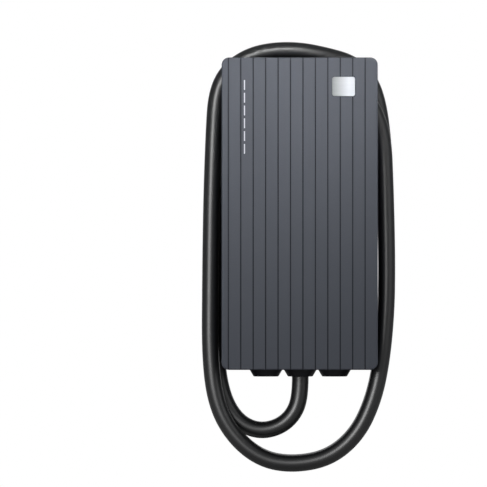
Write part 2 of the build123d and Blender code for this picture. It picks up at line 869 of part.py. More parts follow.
def make_transformer_winding():
    """Two coils on the core's middle leg."""
    x, z = transformer_place()
    leg = 2 * supply_window_x - supply_window_width
    ring = Rectangle(leg + 2 * supply_coil_wall, supply_window_height - fit) - Rectangle(
        leg + fit, supply_window_height)
    near = main_board_face + (supply_stack - supply_coil_stack) / 2
    return [slab(Pos(x, z) * ring, near, near + supply_coil_stack)]


def transformer_place():
    """Centre of the power supply on the main board."""
    return main_board_x + relay_pitch / 2 + 4, board_middle_z


def make_capacitors():
    """Three round capacitors at the top of the main board."""
    caps = []
    for i in range(capacitor_count):
        x = main_board_x + (i - (capacitor_count - 1) / 2) * capacitor_pitch
        cap = rod(x, capacitor_z, main_board_face, main_board_face + capacitor_height, capacitor_radius)
        caps.append(fillet(cap.faces().sort_by(Axis.Y)[0].edges(), 1.0))
    return caps


def make_radio_module():
    """Shielded radio module on the control board with its small antenna block."""
    back = control_board_back
    can = block(radio_x, control_board_z + radio_rise, radio_width, radio_height, back - radio_can, back)
    can = fillet(can.faces().sort_by(Axis.Y)[-1].edges(), 0.8)
    antenna_z = control_board_z + antenna_rise
    return can + block(radio_x, antenna_z, antenna_width, antenna_height, back - antenna_thickness, back)


def make_chips():
    """Processor and memory on the control board."""
    back = control_board_back
    near = back - chip_thickness
    z = control_board_z + processor_rise
    chips = [block(processor_x, z, processor_size, processor_size, near, back)]
    for i in range(memory_count):
        x = memory_x + i * memory_pitch
        chips.append(block(x, control_board_z + memory_rise, memory_width, memory_height, near, back))
    return chips


def make_board_screws():
    """Screws of the main board, the control board and the card reader's board."""
    screws = [screw(x, z, main_board_face, -1, main_board_gap) for x, z in main_board_fixings()]
    screws += [screw(x, z, control_board_back, 1) for x, z in control_fixings()]
    near = lid_face + coil_post_height + board_thickness
    return screws + [screw(x, z, near, -1, 5.0) for x, z in coil_fixings()]


def grip_profile(inset):
    """Outline of the plug's grip as a face of (radius, z), moved in by an inset."""
    top = grip_top
    low = grip_bottom + collar_height
    curve = Spline(
        (boot_root_radius + 1 - inset, top), (22.5 - inset, top - 0.32 * grip_length),
        (21.0 - inset, top - 0.66 * grip_length), (collar_radius - inset, low))
    rest = Polyline(
        (collar_radius - inset, low), (collar_radius - inset, grip_bottom), (0, grip_bottom), (0, top),
        (boot_root_radius + 1 - inset, top))
    return make_face((curve + rest).edges())


def grip_solid(inset=0.0):
    """Turned grip about the plug's axis."""
    return Pos(plug_x, -plug_depth, 0) * revolve(Plane.XZ * grip_profile(inset), Axis.Z)


def make_plug_shell(front):
    """One half of the plug's grip: a hollow moulding split along the plug's axis."""
    hollow = grip_solid(3.0) & post(plug_x, plug_depth, grip_bottom + 3, grip_top - 3, collar_radius)
    shell = grip_solid() - hollow
    side = -1 if front else 1
    half = Pos(plug_x, -plug_depth + side * collar_radius, (grip_top + grip_bottom) / 2) * Box(
        4 * collar_radius, 2 * collar_radius, grip_length + 2)
    shell &= half
    for z in plug_screw_heights():
        hole_radius = screw_radius + fit / 2
        boss = rod(plug_x, z, plug_depth - collar_radius, plug_depth + collar_radius, post_radius + 1)
        shell += boss & grip_solid(1.0) & half
        shell -= rod(plug_x, z, plug_depth - collar_radius, plug_depth + plug_screw_reach, hole_radius)
        shell -= rod(plug_x, z, plug_depth - collar_radius - 1, plug_depth - plug_screw_seat,
                     screw_head_radius + fit)
    return shell


def plug_screw_heights():
    """Heights of the three screws of the plug's shells."""
    middle_z = (grip_top + grip_bottom) / 2
    return [middle_z + 0.36 * grip_length, middle_z, middle_z - 0.3 * grip_length]


def make_plug_screws():
    """Three screws in the back of the plug."""
    length = plug_screw_seat + plug_screw_reach - 1
    return [screw(plug_x, z, plug_depth - plug_screw_seat, 1, length) for z in plug_screw_heights()]


def make_plug_nose():
    """Nose sleeve with one flattened side, and the insert that holds the contacts."""
    sleeve = post(plug_x, plug_depth, nose_bottom, grip_bottom, nose_radius)
    hollow = post(plug_x, plug_depth, nose_bottom - 1, grip_bottom - 4, nose_radius - nose_wall)
    insert = post(plug_x, plug_depth, nose_bottom + 4, grip_bottom - 3, nose_radius - nose_wall - 3)
    cut = 2 * nose_radius
    sleeve &= Pos(plug_x, -plug_depth - nose_flat + cut, (nose_bottom + grip_bottom) / 2) * Box(
        2 * cut, 2 * cut, nose_length + 2)
    inner_flat = nose_flat - nose_wall
    tall_box = Box(2 * cut, 2 * cut, 4 * nose_length)
    hollow &= Pos(plug_x, -plug_depth - inner_flat + cut, nose_bottom) * tall_box
    insert &= Pos(plug_x, -plug_depth - inner_flat + 3 + cut, nose_bottom) * tall_box
    nose = sleeve - hollow + insert
    for x, out, radius in contact_places():
        nose -= post(x, out, nose_bottom, nose_bottom + 4 + contact_length + 1, radius + 0.8)
    return nose


def contact_places():
    """Seven contacts: one in the middle, four round it and two small pilots towards the flat side."""
    places = [(plug_x, plug_depth, power_contact_radius)]
    for angle in (0, 60, 120, 180):
        turn = math.radians(angle + 180)
        x = plug_x + contact_ring * math.cos(turn)
        places.append((x, plug_depth + contact_ring * math.sin(turn) * 0.9, power_contact_radius))
    for i in range(pilot_count):
        x = plug_x + (i - (pilot_count - 1) / 2) * 14
        places.append((x, plug_depth + 10.5, pilot_contact_radius))
    return places


def make_plug_contacts():
    """Metal sleeves of the plug."""
    low = nose_bottom + 6
    high = nose_bottom + 4 + contact_length + 1
    contacts = []
    for x, out, radius in contact_places():
        contacts.append(post(x, out, low, high, radius) - post(x, out, low - 1, high - 6, radius - 1))
    return contacts


def make_plug_boot():
    """Ribbed strain relief that tapers towards the cable."""
    cone = Solid.make_cone(boot_root_radius, boot_top_radius, boot_length)
    boot = Pos(plug_x, -plug_depth, grip_top) * cone
    rings = 4
    for i in range(rings):
        z = grip_top + (i + 0.8) * boot_length / (rings + 0.6)
        radius = boot_root_radius - (boot_root_radius - boot_top_radius) * (z - grip_top) / boot_length
        ring = post(plug_x, plug_depth, z, z + 3, boot_root_radius + 1)
        boot -= ring - post(plug_x, plug_depth, z - 1, z + 4, radius - boot_groove)
    return boot


def holster_radius():
    """Inside radius of the holster's cup."""
    return nose_radius + holster_play


def holster_fixings():
    """Heights of the holster's two screws."""
    return [grip_bottom - 8, nose_bottom - 8]


def make_plug_holster():
    """Cup for the plug's nose with a flange on the wall of the bay."""
    outer = holster_radius() + holster_wall
    floor_low = nose_bottom - fit - holster_floor
    rim = grip_bottom - fit
    cup = post(plug_x, plug_depth, floor_low, rim, outer)
    flange_low = nose_bottom - 15
    flange_high = grip_bottom - 2
    flange_height = flange_high - flange_low
    flange = Pos(bay_left + fit + holster_flange / 2, -plug_depth, (flange_low + flange_high) / 2) * Box(
        holster_flange, 30, flange_height)
    reach = plug_x - bay_left - fit
    web_height = (rim - floor_low) - 14
    web_z = floor_low + web_height / 2 + 6
    web = Pos(bay_left + fit + reach / 2, -plug_depth, web_z) * Box(reach, 24, web_height)
    cup += flange + web
    cup -= post(plug_x, plug_depth, nose_bottom - fit, rim + 1, holster_radius())
    cup -= post(plug_x, plug_depth, floor_low - 1, rim, 8)
    for z in holster_fixings():
        cup -= cross_rod(bay_left, plug_depth, z, holster_flange + 1, screw_radius + fit)
        cup -= cross_rod(bay_left + fit + holster_flange, plug_depth, z, 2 * outer, screw_head_radius + 1)
    return cup


def make_holster_screws():
    """Two screws along X that hold the holster to the bay's wall."""
    seat = bay_left + fit + holster_flange
    screws = []
    for z in holster_fixings():
        shank = cross_rod(seat - screw_length, plug_depth, z, screw_length, screw_radius)
        screws.append(shank + cross_rod(seat, plug_depth, z, screw_head_height, screw_head_radius))
    return screws


def build_nodes():
    """All nodes of the wall box by name."""
    nodes = {
        "front_cover": make_front_cover(),
        "badge_plate": make_badge_plate(),
        "light_guide": make_light_guide(),
        "led_board": make_led_board(),
        "status_leds": make_leds(),
        "led_board_screws": make_led_screws(),
        "cover_screws": make_cover_screws(),
        "body_shell": make_body_shell(),
        "lid_gasket": make_lid_gasket(),
        "inner_lid": make_inner_lid(),
        "lid_screws": make_lid_screws(),
        "wall_bracket": make_wall_bracket(),
        "bracket_lock_screws": make_lock_screws(),
        "main_board": board(
            main_board_x, 0, main_board_width, main_board_height, main_board_back, main_board_fixings()),
        "control_board": board(
            0, control_board_z, control_board_width, control_board_height, control_board_back,
            control_fixings()),
        "card_reader_board": board(
            0, coil_board_z, coil_board_width, coil_board_height, lid_face + coil_post_height,
            coil_fixings()),
        "card_reader_coil": make_coil_winding(),
        "board_screws": make_board_screws(),
        "input_terminals": make_terminal_block(input_terminal_z()),
        "output_terminals": make_terminal_block(output_terminal_z()),
        "terminal_screws": make_terminal_screws(),
        "power_relay_1": make_relay(0),
        "power_relay_2": make_relay(1),
        "current_sensor": make_current_sensor(),
        "supply_core": make_transformer_core(),
        "supply_winding": make_transformer_winding(),
        "capacitors": make_capacitors(),
        "radio_module": make_radio_module(),
        "processor_chips": make_chips(),
        "output_cores": make_output_cores(),
        "cable_root": make_cable_root(),
        "plug_shell_front": make_plug_shell(True),
        "plug_shell_back": make_plug_shell(False),
        "plug_screws": make_plug_screws(),
        "plug_nose": make_plug_nose(),
        "plug_contacts": make_plug_contacts(),
        "plug_boot": make_plug_boot(),
        "plug_holster": make_plug_holster(),
        "holster_screws": make_holster_screws(),
    }
    sides = ["left", "middle", "right"]
    for side, x in zip(sides, gland_places):
        nodes[f"gland_body_{side}"] = make_gland_body(x)
        nodes[f"gland_nut_{side}"] = make_gland_nut(x)
        nodes[f"gland_locknut_{side}"] = make_gland_locknut(x)
    nodes["gland_seal_left"] = make_gland_seal(gland_places[0], supply_radius)
    nodes["gland_seal_middle"] = make_gland_seal(gland_places[1], cable_radius + cable_clearance)
    nodes["gland_seal_right"] = make_gland_seal(gland_places[2], cable_radius + cable_clearance)
    nodes["gland_blank_right"] = make_blanking_plug(gland_places[2])
    nodes.update(make_cable())
    return nodes


def main():
    """Write one STEP file for each node."""
    os.makedirs("parts", exist_ok=True)
    for name, shape in build_nodes().items():
        solids = shape if isinstance(shape, list) else [shape]
        body = Compound(children=[solid for piece in solids for solid in piece.solids()])
        export_step(body, f"parts/{name}.step")


main()
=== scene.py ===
"""Wall box for charging an electric car, dressed for its picture.

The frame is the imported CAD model: metres, X to the right, the wall at y = 0, the front towards -Y, Z up.
Each sub-assembly is a class that builds its meshes from sizes in millimetres and dresses them.
"""

import logging
import math
from collections.abc import Callable, Sequence
from dataclasses import dataclass, field
from enum import Enum

import bmesh
import bpy
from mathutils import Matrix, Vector


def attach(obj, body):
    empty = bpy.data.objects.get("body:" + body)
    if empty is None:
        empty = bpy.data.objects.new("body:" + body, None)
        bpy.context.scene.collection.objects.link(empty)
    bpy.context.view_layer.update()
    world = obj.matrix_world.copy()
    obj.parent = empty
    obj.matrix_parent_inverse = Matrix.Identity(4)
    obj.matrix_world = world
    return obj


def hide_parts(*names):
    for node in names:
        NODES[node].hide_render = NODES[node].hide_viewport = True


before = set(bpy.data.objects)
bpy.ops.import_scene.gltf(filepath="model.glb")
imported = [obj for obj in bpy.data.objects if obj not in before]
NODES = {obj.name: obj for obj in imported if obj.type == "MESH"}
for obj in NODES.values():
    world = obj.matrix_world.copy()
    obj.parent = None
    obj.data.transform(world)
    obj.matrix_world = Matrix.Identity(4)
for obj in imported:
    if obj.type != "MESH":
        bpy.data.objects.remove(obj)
LOG = logging.getLogger("wall_box")
BODY = "root"
# The charging cable's diameter and the glands' distance from the wall, in millimetres.
CABLE_DIAMETER = 20.5
GLAND_OUT = 64.0
# Each gland's side, place along X and seal bore in millimetres.
GLANDS = (("left", -41.0, 8.5), ("middle", 1.0, 10.45), ("right", 43.0, 10.45))
Point = tuple[float, float, float]
Profile = Sequence[tuple[float, float]]
EdgeTest = Callable[[Vector, Vector], bool]

# Share of its length from which an edge counts as running along an axis.
ALONG = 0.9
# Metres within which two places are the same.
SAME_PLACE = 1e-5
# Metres within which two points of a mesh are merged.
SAME_POINT = 1e-6
SAME_CAD_POINT = 2e-6
# Edges sharper than this many degrees are rounded or stay crisp.
SHARP_ANGLE = 35.0
# Triangles whose edge bends less than this many degrees are one face.
FLAT_ANGLE = 1.0
# Where a finish's second colour ends and its first one starts on its pattern.
COLOUR_STOPS = (0.3, 0.7)
# Share of the pattern that stays in a colour sweep, which paints a reflection.
SWEEP_GRAIN = 0.15
# A brushed finish's hairlines run along X, so its pattern is drawn out fifty times that way.
HAIRLINE_STRETCH = (0.02, 1.0, 1.0)
# A jacket's die lines run along it, and its UV map has u once round it and v once along it.
JACKET_GIRTH_MM = math.pi * CABLE_DIAMETER
# How many times a die line changes from one end of the cable to the other.
DIE_LINE_CHANGES = 0.4
NOISE_DETAIL = 3.0
NOISE_ROUGHNESS = 0.6
# Width of the slow change that keeps wide faces from looking printed, and its share of the pattern.
SLOW_MM = 60.0
SLOW_SHARE = 0.25
SLOW_DETAIL = 2.0
LEAST_ROUGHNESS = 0.02
SHEEN_ROUGHNESS = 0.4


def mm(value: float) -> float:
    """Turn millimetres into metres."""
    return value / 1000.0


def place(x: float, out: float, z: float) -> Vector:
    """Point of the frame from millimetres, with the distance out from the wall."""
    return Vector((mm(x), -mm(out), mm(z)))


def linear(colour: str) -> tuple[float, float, float, float]:
    """Turn an sRGB hex colour into linear values, by the sRGB standard's curve.

    Args:
        colour: six hex digits, such as "5d6069".

    Returns:
        Linear red, green and blue with an alpha of 1.
    """
    channels = []
    for start in (0, 2, 4):
        value = int(colour[start:start + 2], 16) / 255.0
        channels.append(value / 12.92 if value <= 0.04045 else ((value + 0.055) / 1.055) ** 2.4)
    return (channels[0], channels[1], channels[2], 1.0)


def grain(millimetres: float) -> float:
    """Noise scale on coordinates in metres whose spots are that far apart."""
    return 1000.0 / millimetres


# Materials


def add_node(
    tree: bpy.types.NodeTree,
    kind: str,
    settings: dict[str, object] | None = None,
    inputs: dict[str, object] | None = None,
) -> bpy.types.Node:
    """Add a node with its settings, its socket values and its links.

    Args:
        tree: the node tree.
        kind: the node's type, such as "ShaderNodeTexNoise".
        settings: attributes of the node by name.
        inputs: values of its sockets by name or index, an output socket being linked.

    Returns:
        The new node.
    """
    node = tree.nodes.new(kind)
    for name, value in (settings or {}).items():
        setattr(node, name, value)
    for name, value in (inputs or {}).items():
        socket = node.inputs[name]
        if isinstance(value, bpy.types.NodeSocket):
            tree.links.new(value, socket)
        else:
            socket.default_value = value
    return node


def emptied(block: bpy.types.Material | bpy.types.World) -> bpy.types.NodeTree:
    """Empty node tree of a new material or world.

    Args:
        block: the material or world.

    Returns:
        Its node tree.
    """
    block.use_nodes = True
    block.node_tree.nodes.clear()
    return block.node_tree


class Coat(Enum):
    """How a finish's fine surface was made."""

    MOULDED = "moulded"
    BRUSHED = "brushed"
    EXTRUDED = "extruded"


@dataclass(frozen=True)
class Finish:
    """One finish: its colours, its gloss and the grain of its surface in millimetres."""

    name: str
    colour: str
    second: str
    roughness: float
    metallic: float = 0.0
    specular: float = 0.5
    coat: Coat = Coat.MOULDED
    grain_mm: float = 0.8
    relief_mm: float = 0.02
    roughness_spread: float = 0.06
    emission: str = ""
    emission_strength: float = 0.0
    sheen: float = 0.0
    film: float = 0.0
    # Where along X a painted reflection runs from the second colour to the first.
    painted_reflection_sweep_mm: tuple[float, float] | None = None

    def material(self) -> bpy.types.Material:
        """Build the node material of this finish, once.

        Returns:
            The material, the same one each time.
        """
        known = bpy.data.materials.get(self.name)
        if known is not None:
            return known
        material = bpy.data.materials.new(self.name)
        tree = emptied(material)
        pattern = self._pattern(tree)
        colour = add_node(tree, "ShaderNodeValToRGB", inputs={"Fac": self._tone(tree, pattern)})
        stops = zip(colour.color_ramp.elements, COLOUR_STOPS, (self.second, self.colour))
        for element, position, tint in stops:
            element.position = position
            element.color = linear(tint)
        rough = add_node(
            tree,
            "ShaderNodeMapRange",
            inputs={
                "Value": pattern,
                "To Min": max(self.roughness - self.roughness_spread, LEAST_ROUGHNESS),
                "To Max": min(self.roughness + self.roughness_spread, 1.0),
            },
        )
        bump = add_node(
            tree,
            "ShaderNodeBump",
            inputs={"Height": pattern, "Distance": mm(self.relief_mm), "Strength": 1.0},
        )
        looks: dict[str, object] = {
            "Base Color": colour.outputs["Color"],
            "Roughness": rough.outputs["Result"],
            "Metallic": self.metallic,
            "Normal": bump.outputs["Normal"],
        }
        if not self.metallic:
            looks["Specular IOR Level"] = self.specular
        if self.sheen:
            looks |= {"Sheen Weight": self.sheen, "Sheen Roughness": SHEEN_ROUGHNESS}
        if self.film:
            looks |= {"Coat Weight": self.film, "Coat Roughness": self.roughness}
        if self.emission:
            looks |= {"Emission Color": linear(self.emission), "Emission Strength": self.emission_strength}
        shader = add_node(tree, "ShaderNodeBsdfPrincipled", inputs=looks)
        add_node(tree, "ShaderNodeOutputMaterial", inputs={"Surface": shader.outputs["BSDF"]})
        material.diffuse_color = linear(self.colour)
        return material

    def _tone(self, tree: bpy.types.NodeTree, pattern: bpy.types.NodeSocket) -> bpy.types.NodeSocket:
        """What drives the colour: the pattern, or mostly a sweep from one place along X to another that
        paints a reflection.

        Args:
            tree: the node tree.
            pattern: the surface pattern's socket.

        Returns:
            The socket that runs from the second colour to the first.
        """
        if self.painted_reflection_sweep_mm is None:
            return pattern
        coordinates = add_node(tree, "ShaderNodeTexCoord")
        parts = add_node(tree, "ShaderNodeSeparateXYZ", inputs={0: coordinates.outputs["Object"]})
        start, end = self.painted_reflection_sweep_mm
        sweep = add_node(
            tree,
            "ShaderNodeMapRange",
            inputs={
                "Value": parts.outputs["X"],
                "From Min": mm(start),
                "From Max": mm(end),
                "To Min": COLOUR_STOPS[0],
                "To Max": COLOUR_STOPS[1],
            },
        )
        mixed = add_node(
            tree, "ShaderNodeMix", inputs={0: SWEEP_GRAIN, 2: sweep.outputs["Result"], 3: pattern}
        )
        return mixed.outputs[0]

    def _pattern(self, tree: bpy.types.NodeTree) -> bpy.types.NodeSocket:
        """Surface pattern from 0 to 1 in the piece's own coordinates or along its length.

        Args:
            tree: the node tree.

        Returns:
            The pattern's socket.
        """
        coordinates = add_node(tree, "ShaderNodeTexCoord")
        source = coordinates.outputs["Object"]
        stretch = (1.0, 1.0, 1.0)
        if self.coat is Coat.BRUSHED:
            stretch = HAIRLINE_STRETCH
        if self.coat is Coat.EXTRUDED:
            source = coordinates.outputs["UV"]
            stretch = (JACKET_GIRTH_MM / self.grain_mm, DIE_LINE_CHANGES, 1.0)
        moved = add_node(tree, "ShaderNodeMapping", inputs={"Vector": source, "Scale": stretch})
        scale = 1.0 if self.coat is Coat.EXTRUDED else grain(self.grain_mm)
        noise = add_node(
            tree,
            "ShaderNodeTexNoise",
            inputs={
                "Vector": moved.outputs["Vector"],
                "Scale": scale,
                "Detail": NOISE_DETAIL,
                "Roughness": NOISE_ROUGHNESS,
            },
        )
        slow = add_node(
            tree,
            "ShaderNodeTexNoise",
            inputs={"Vector": coordinates.outputs["Object"], "Scale": grain(SLOW_MM), "Detail": SLOW_DETAIL},
        )
        mixed = add_node(
            tree, "ShaderNodeMix", inputs={0: SLOW_SHARE, 2: noise.outputs["Fac"], 3: slow.outputs["Fac"]}
        )
        return mixed.outputs[0]


# Moulded textures are 0.1 to 0.2 mm wide, brushed hairlines 0.05 mm and die lines under 0.5 mm, too
# fine to show from here, so their grain below is drawn some times as coarse.

# Anthracite ASA moulding with a fine matt texture: even blue-grey, soft highlight.
COVER_PLASTIC = Finish("cover_textured_asa", "545861", "50545d", 0.55, specular=0.2, grain_mm=0.6,
                       relief_mm=0.025)
# The same moulding inside its grooves, in a darker, duller colour that paints the shade falling into them.
GROOVE_PAINTED_SHADE = Finish("cover_groove_painted_shade", "383a41", "2f3137", 0.6, specular=0.1, grain_mm=0.5)
# Bare anodised aluminium plate, brushed across: bright with fine hairlines. Its colour runs darker towards
# its left edge, which is a painted reflection.
BADGE_METAL = Finish("badge_brushed_aluminium", "e2e5ea", "8e9291", 0.45, metallic=1.0, coat=Coat.BRUSHED,
                     grain_mm=0.25, relief_mm=0.004, painted_reflection_sweep_mm=(40.0, 60.0))
# Frosted acrylic light blades, lit from behind: even white glow.
BLADE_ACRYLIC = Finish("light_frosted_acrylic", "84878d", "7d8086", 0.4, emission="eef1fa",
                       emission_strength=0.44, relief_mm=0.003)
# Cast epoxy lenses of the small lamps: warm white points that glow.
LAMP_LENS = Finish("lamp_lens", "fff6d8", "f6e8b0", 0.3, emission="ffffff", emission_strength=0.8)
# Glass-filled ABS housing, moulded with a spark-eroded texture: black-grey with a satin highlight.
HOUSING_PLASTIC = Finish("housing_moulded_abs", "2b2d31", "25272b", 0.5, grain_mm=1.0, relief_mm=0.02)
# Lid of the same plastic, moulded in a finer tool: a touch lighter and smoother.
LID_PLASTIC = Finish("lid_moulded_abs", "303236", "2a2c30", 0.44, grain_mm=0.9, relief_mm=0.015)
# Polyamide gland bodies and nuts: black, satin, with faint flow marks.
GLAND_NYLON = Finish("gland_black_polyamide", "1f1f26", "17171d", 0.42, grain_mm=1.4, relief_mm=0.01)
# Soft chloroprene seals: dull, slightly dusty black.
SEAL_RUBBER = Finish("seal_rubber", "1f1f20", "171718", 0.75, grain_mm=0.6, relief_mm=0.02, sheen=0.1)
# Polyurethane cable jacket with fine die lines along it: black, with a soft highlight from its waxy skin.
CABLE_JACKET = Finish("cable_polyurethane_jacket", "151618", "101112", 0.38, specular=1.0,
                      coat=Coat.EXTRUDED, grain_mm=1.61, relief_mm=0.004, roughness_spread=0.03, film=0.6)
# Insulation extruded over the inner cores: plain brown, satin.
CORE_INSULATION = Finish("core_insulation", "6b4a32", "54402f", 0.45)
# Hot-dip galvanised bracket: pale grey zinc with soft spangles some millimetres wide.
BRACKET_ZINC = Finish("bracket_galvanised_steel", "b4b8ba", "94989b", 0.42, metallic=1.0, grain_mm=6.0,
                      relief_mm=0.01)
# Zinc-plated steel screws, cold-headed and rolled: bright grey metal with tight highlights.
SCREW_ZINC = Finish("screw_zinc_plated", "c2c4c4", "a4a6a6", 0.32, metallic=1.0, grain_mm=0.4,
                    relief_mm=0.005)
# Laminated electrical steel, stamped: mid-grey metal that mirrors softly.
CORE_STEEL = Finish("laminated_core_steel", "8b8f94", "6f7378", 0.4, metallic=1.0, grain_mm=0.5)
# Drawn copper wire under baked enamel: red-brown metal with a clear highlight.
COPPER_WIRE = Finish("enamelled_copper", "b8693a", "9a5229", 0.3, metallic=1.0, grain_mm=0.5)
# Silver-plated contact sleeves, turned: warm, bright metal.
CONTACT_METAL = Finish("silver_plated_contact", "c9c5ba", "b3ad9e", 0.25, metallic=1.0, grain_mm=0.3,
                       relief_mm=0.003)
# Glass-epoxy board under a green solder mask: semi-gloss, a little uneven over its copper tracks.
BOARD_EPOXY = Finish("board_solder_mask", "1f6b45", "164f34", 0.35, grain_mm=2.5, relief_mm=0.03)
# Components moulded in epoxy: plain satin black.
COMPONENT_EPOXY = Finish("component_moulded", "1e1f20", "161718", 0.5)
# Terminal blocks moulded in polyamide: grey-green, satin.
TERMINAL_NYLON = Finish("terminal_polyamide", "5f7a63", "52695a", 0.45)
# Plug shells: black polyamide with a leather-like spark texture.
PLUG_PLASTIC = Finish("plug_polyamide", "1f2023", "18191c", 0.48, grain_mm=1.2, relief_mm=0.03)
# Soft over-moulded grip and boot: dull black elastomer.
PLUG_RUBBER = Finish("plug_elastomer", "232325", "1b1b1d", 0.68, grain_mm=0.8, relief_mm=0.03, sheen=0.08)


# Modelling with operators


def deselect() -> None:
    """Leave edit mode and clear the selection."""
    if bpy.context.object is not None and bpy.context.object.mode != "OBJECT":
        bpy.ops.object.mode_set(mode="OBJECT")
    bpy.ops.object.select_all(action="DESELECT")


def activate(piece: bpy.types.Object) -> None:
    """Make one piece the only selected and the active one.

    Args:
        piece: the piece to work on.
    """
    deselect()
    piece.select_set(True)
    bpy.context.view_layer.objects.active = piece


def settle(piece: bpy.types.Object, name: str) -> bpy.types.Object:
    """Name a piece and put its place into its mesh.

    Args:
        piece: the piece.
        name: its name from now on.

    Returns:
        The same piece.
    """
    activate(piece)
    piece.name = name
    piece.data.name = name
    bpy.ops.object.transform_apply(location=True, rotation=True, scale=True)
    return piece


def box(name: str, low: Vector, high: Vector) -> bpy.types.Object:
    """Box between two corners, from a cube primitive.

    Args:
        name: the piece's name.
        low: one corner.
        high: the corner across from it.

    Returns:
        The box.
    """
    deselect()
    bpy.ops.mesh.primitive_cube_add(size=1.0, location=(low + high) / 2)
    piece = bpy.context.object
    piece.scale = [abs(value) for value in high - low]
    return settle(piece, name)


def runs_out(middle: Vector, way: Vector) -> bool:
    """Tell whether an edge runs straight out from the wall."""
    return abs(way.y) > ALONG


def at_depth(out: float) -> EdgeTest:
    """Test for edges on the upright plane that many millimetres from the wall."""
    return lambda middle, way: abs(middle.y + mm(out)) < SAME_PLACE


def bevel_where(piece: bpy.types.Object, chosen: EdgeTest, width: float, segments: int) -> None:
    """Bevel the edges that a test picks.

    Args:
        piece: the piece to shape.
        chosen: test on an edge's middle and its direction.
        width: bevel width in millimetres.
        segments: number of segments.
    """
    activate(piece)
    bpy.ops.object.mode_set(mode="EDIT")
    bpy.ops.mesh.select_mode(type="EDGE")
    bpy.ops.mesh.select_all(action="DESELECT")
    mesh = bmesh.from_edit_mesh(piece.data)
    for edge in mesh.edges:
        start, end = (vertex.co for vertex in edge.verts)
        edge.select = chosen((start + end) / 2, (end - start).normalized())
    bmesh.update_edit_mesh(piece.data)
    bpy.ops.mesh.bevel(offset=mm(width), segments=segments, affect="EDGES")
    bpy.ops.object.mode_set(mode="OBJECT")


def rings(name: str, x: float, out: float, profile: Profile, sides: int = 96) -> bpy.types.Object:
    """Turned piece about an upright axis: a circle drawn out ring by ring, then closed.

    Args:
        name: the piece's name.
        x: the axis' place in millimetres.
        out: the axis' distance from the wall in millimetres.
        profile: radius and height of each ring in millimetres; it closes on itself or at flat ends.
        sides: number of points round each ring.

    Returns:
        The closed piece.
    """
    deselect()
    first_radius, first_z = profile[0]
    bpy.ops.mesh.primitive_circle_add(
        vertices=sides, radius=mm(first_radius), location=place(x, out, first_z)
    )
    piece = settle(bpy.context.object, name)
    bpy.ops.object.mode_set(mode="EDIT")
    bpy.ops.mesh.select_all(action="SELECT")
    for (radius, z), (next_radius, next_z) in zip(profile, profile[1:]):
        bpy.ops.mesh.extrude_edges_move(TRANSFORM_OT_translate={"value": (0.0, 0.0, mm(next_z - z))})
        if next_radius != radius:
            grow = next_radius / radius
            bpy.ops.transform.resize(value=(grow, grow, 1.0), center_override=place(x, out, next_z))
    bpy.ops.mesh.select_all(action="SELECT")
    bpy.ops.mesh.remove_doubles(threshold=SAME_POINT)
    bpy.ops.mesh.fill_holes(sides=0)
    bpy.ops.mesh.select_all(action="SELECT")
    bpy.ops.mesh.normals_make_consistent(inside=False)
    bpy.ops.object.mode_set(mode="OBJECT")
    return piece


def bar(name: str, start: Vector, end: Vector, radius: float, sides: int = 48) -> bpy.types.Object:
    """Round bar between two points, from a cylinder primitive.

    Args:
        name: the piece's name.
        start: middle of one end.
        end: middle of the other end.
        radius: its radius in millimetres.
        sides: number of points round it.

    Returns:
        The bar.
    """
    deselect()
    way = end - start
    bpy.ops.mesh.primitive_cylinder_add(
        vertices=sides,
        radius=mm(radius),
        depth=way.length,
        location=(start + end) / 2,
        rotation=way.to_track_quat("Z", "Y").to_euler(),
    )
    return settle(bpy.context.object, name)


def joined(name: str, pieces: Sequence[bpy.types.Object]) -> bpy.types.Object:
    """One piece from several.

    Args:
        name: the new piece's name.
        pieces: the pieces, which are used up.

    Returns:
        The joined piece.
    """
    activate(pieces[0])
    for piece in pieces:
        piece.select_set(True)
    if len(pieces) > 1:
        bpy.ops.object.join()
    return settle(bpy.context.object, name)


def copied(piece: bpy.types.Object, name: str, shift: Vector) -> bpy.types.Object:
    """Copy a shape, with its own mesh, to another place.

    Args:
        piece: the shape, with its place in its mesh.
        name: the copy's name.
        shift: how far from the shape the copy stands.

    Returns:
        The copy.
    """
    copy = piece.copy()
    copy.data = piece.data.copy()
    copy.location = shift
    bpy.context.scene.collection.objects.link(copy)
    return settle(copy, name)


def spread(piece: bpy.types.Object, shifts: Sequence[Vector]) -> list[bpy.types.Object]:
    """Copy a shape that is modelled once to each of its places, which uses the first one up.

    Args:
        piece: the shape, with its place in its mesh.
        shifts: how far from it each copy stands.

    Returns:
        The copies, each with its own mesh.
    """
    copies = [copied(piece, f"{piece.name}_{i}", shift) for i, shift in enumerate(shifts)]
    bpy.data.objects.remove(piece)
    return copies


class Boolean(Enum):
    """What becomes of the second of two pieces."""

    CUT_AWAY = "DIFFERENCE"
    ADDED_ON = "UNION"


def combine(piece: bpy.types.Object, other: bpy.types.Object, how: Boolean) -> bpy.types.Object:
    """Cut another piece away from a piece, or add it on, which uses the other one up.

    Args:
        piece: the piece that stays.
        other: the piece that is used up.
        how: what becomes of the other one.

    Returns:
        The piece that stays.
    """
    activate(piece)
    modifier = piece.modifiers.new("shape", "BOOLEAN")
    modifier.operation = how.value
    modifier.solver = "EXACT"
    modifier.object = other
    bpy.ops.object.modifier_apply(modifier=modifier.name)
    bpy.data.objects.remove(other)
    return piece


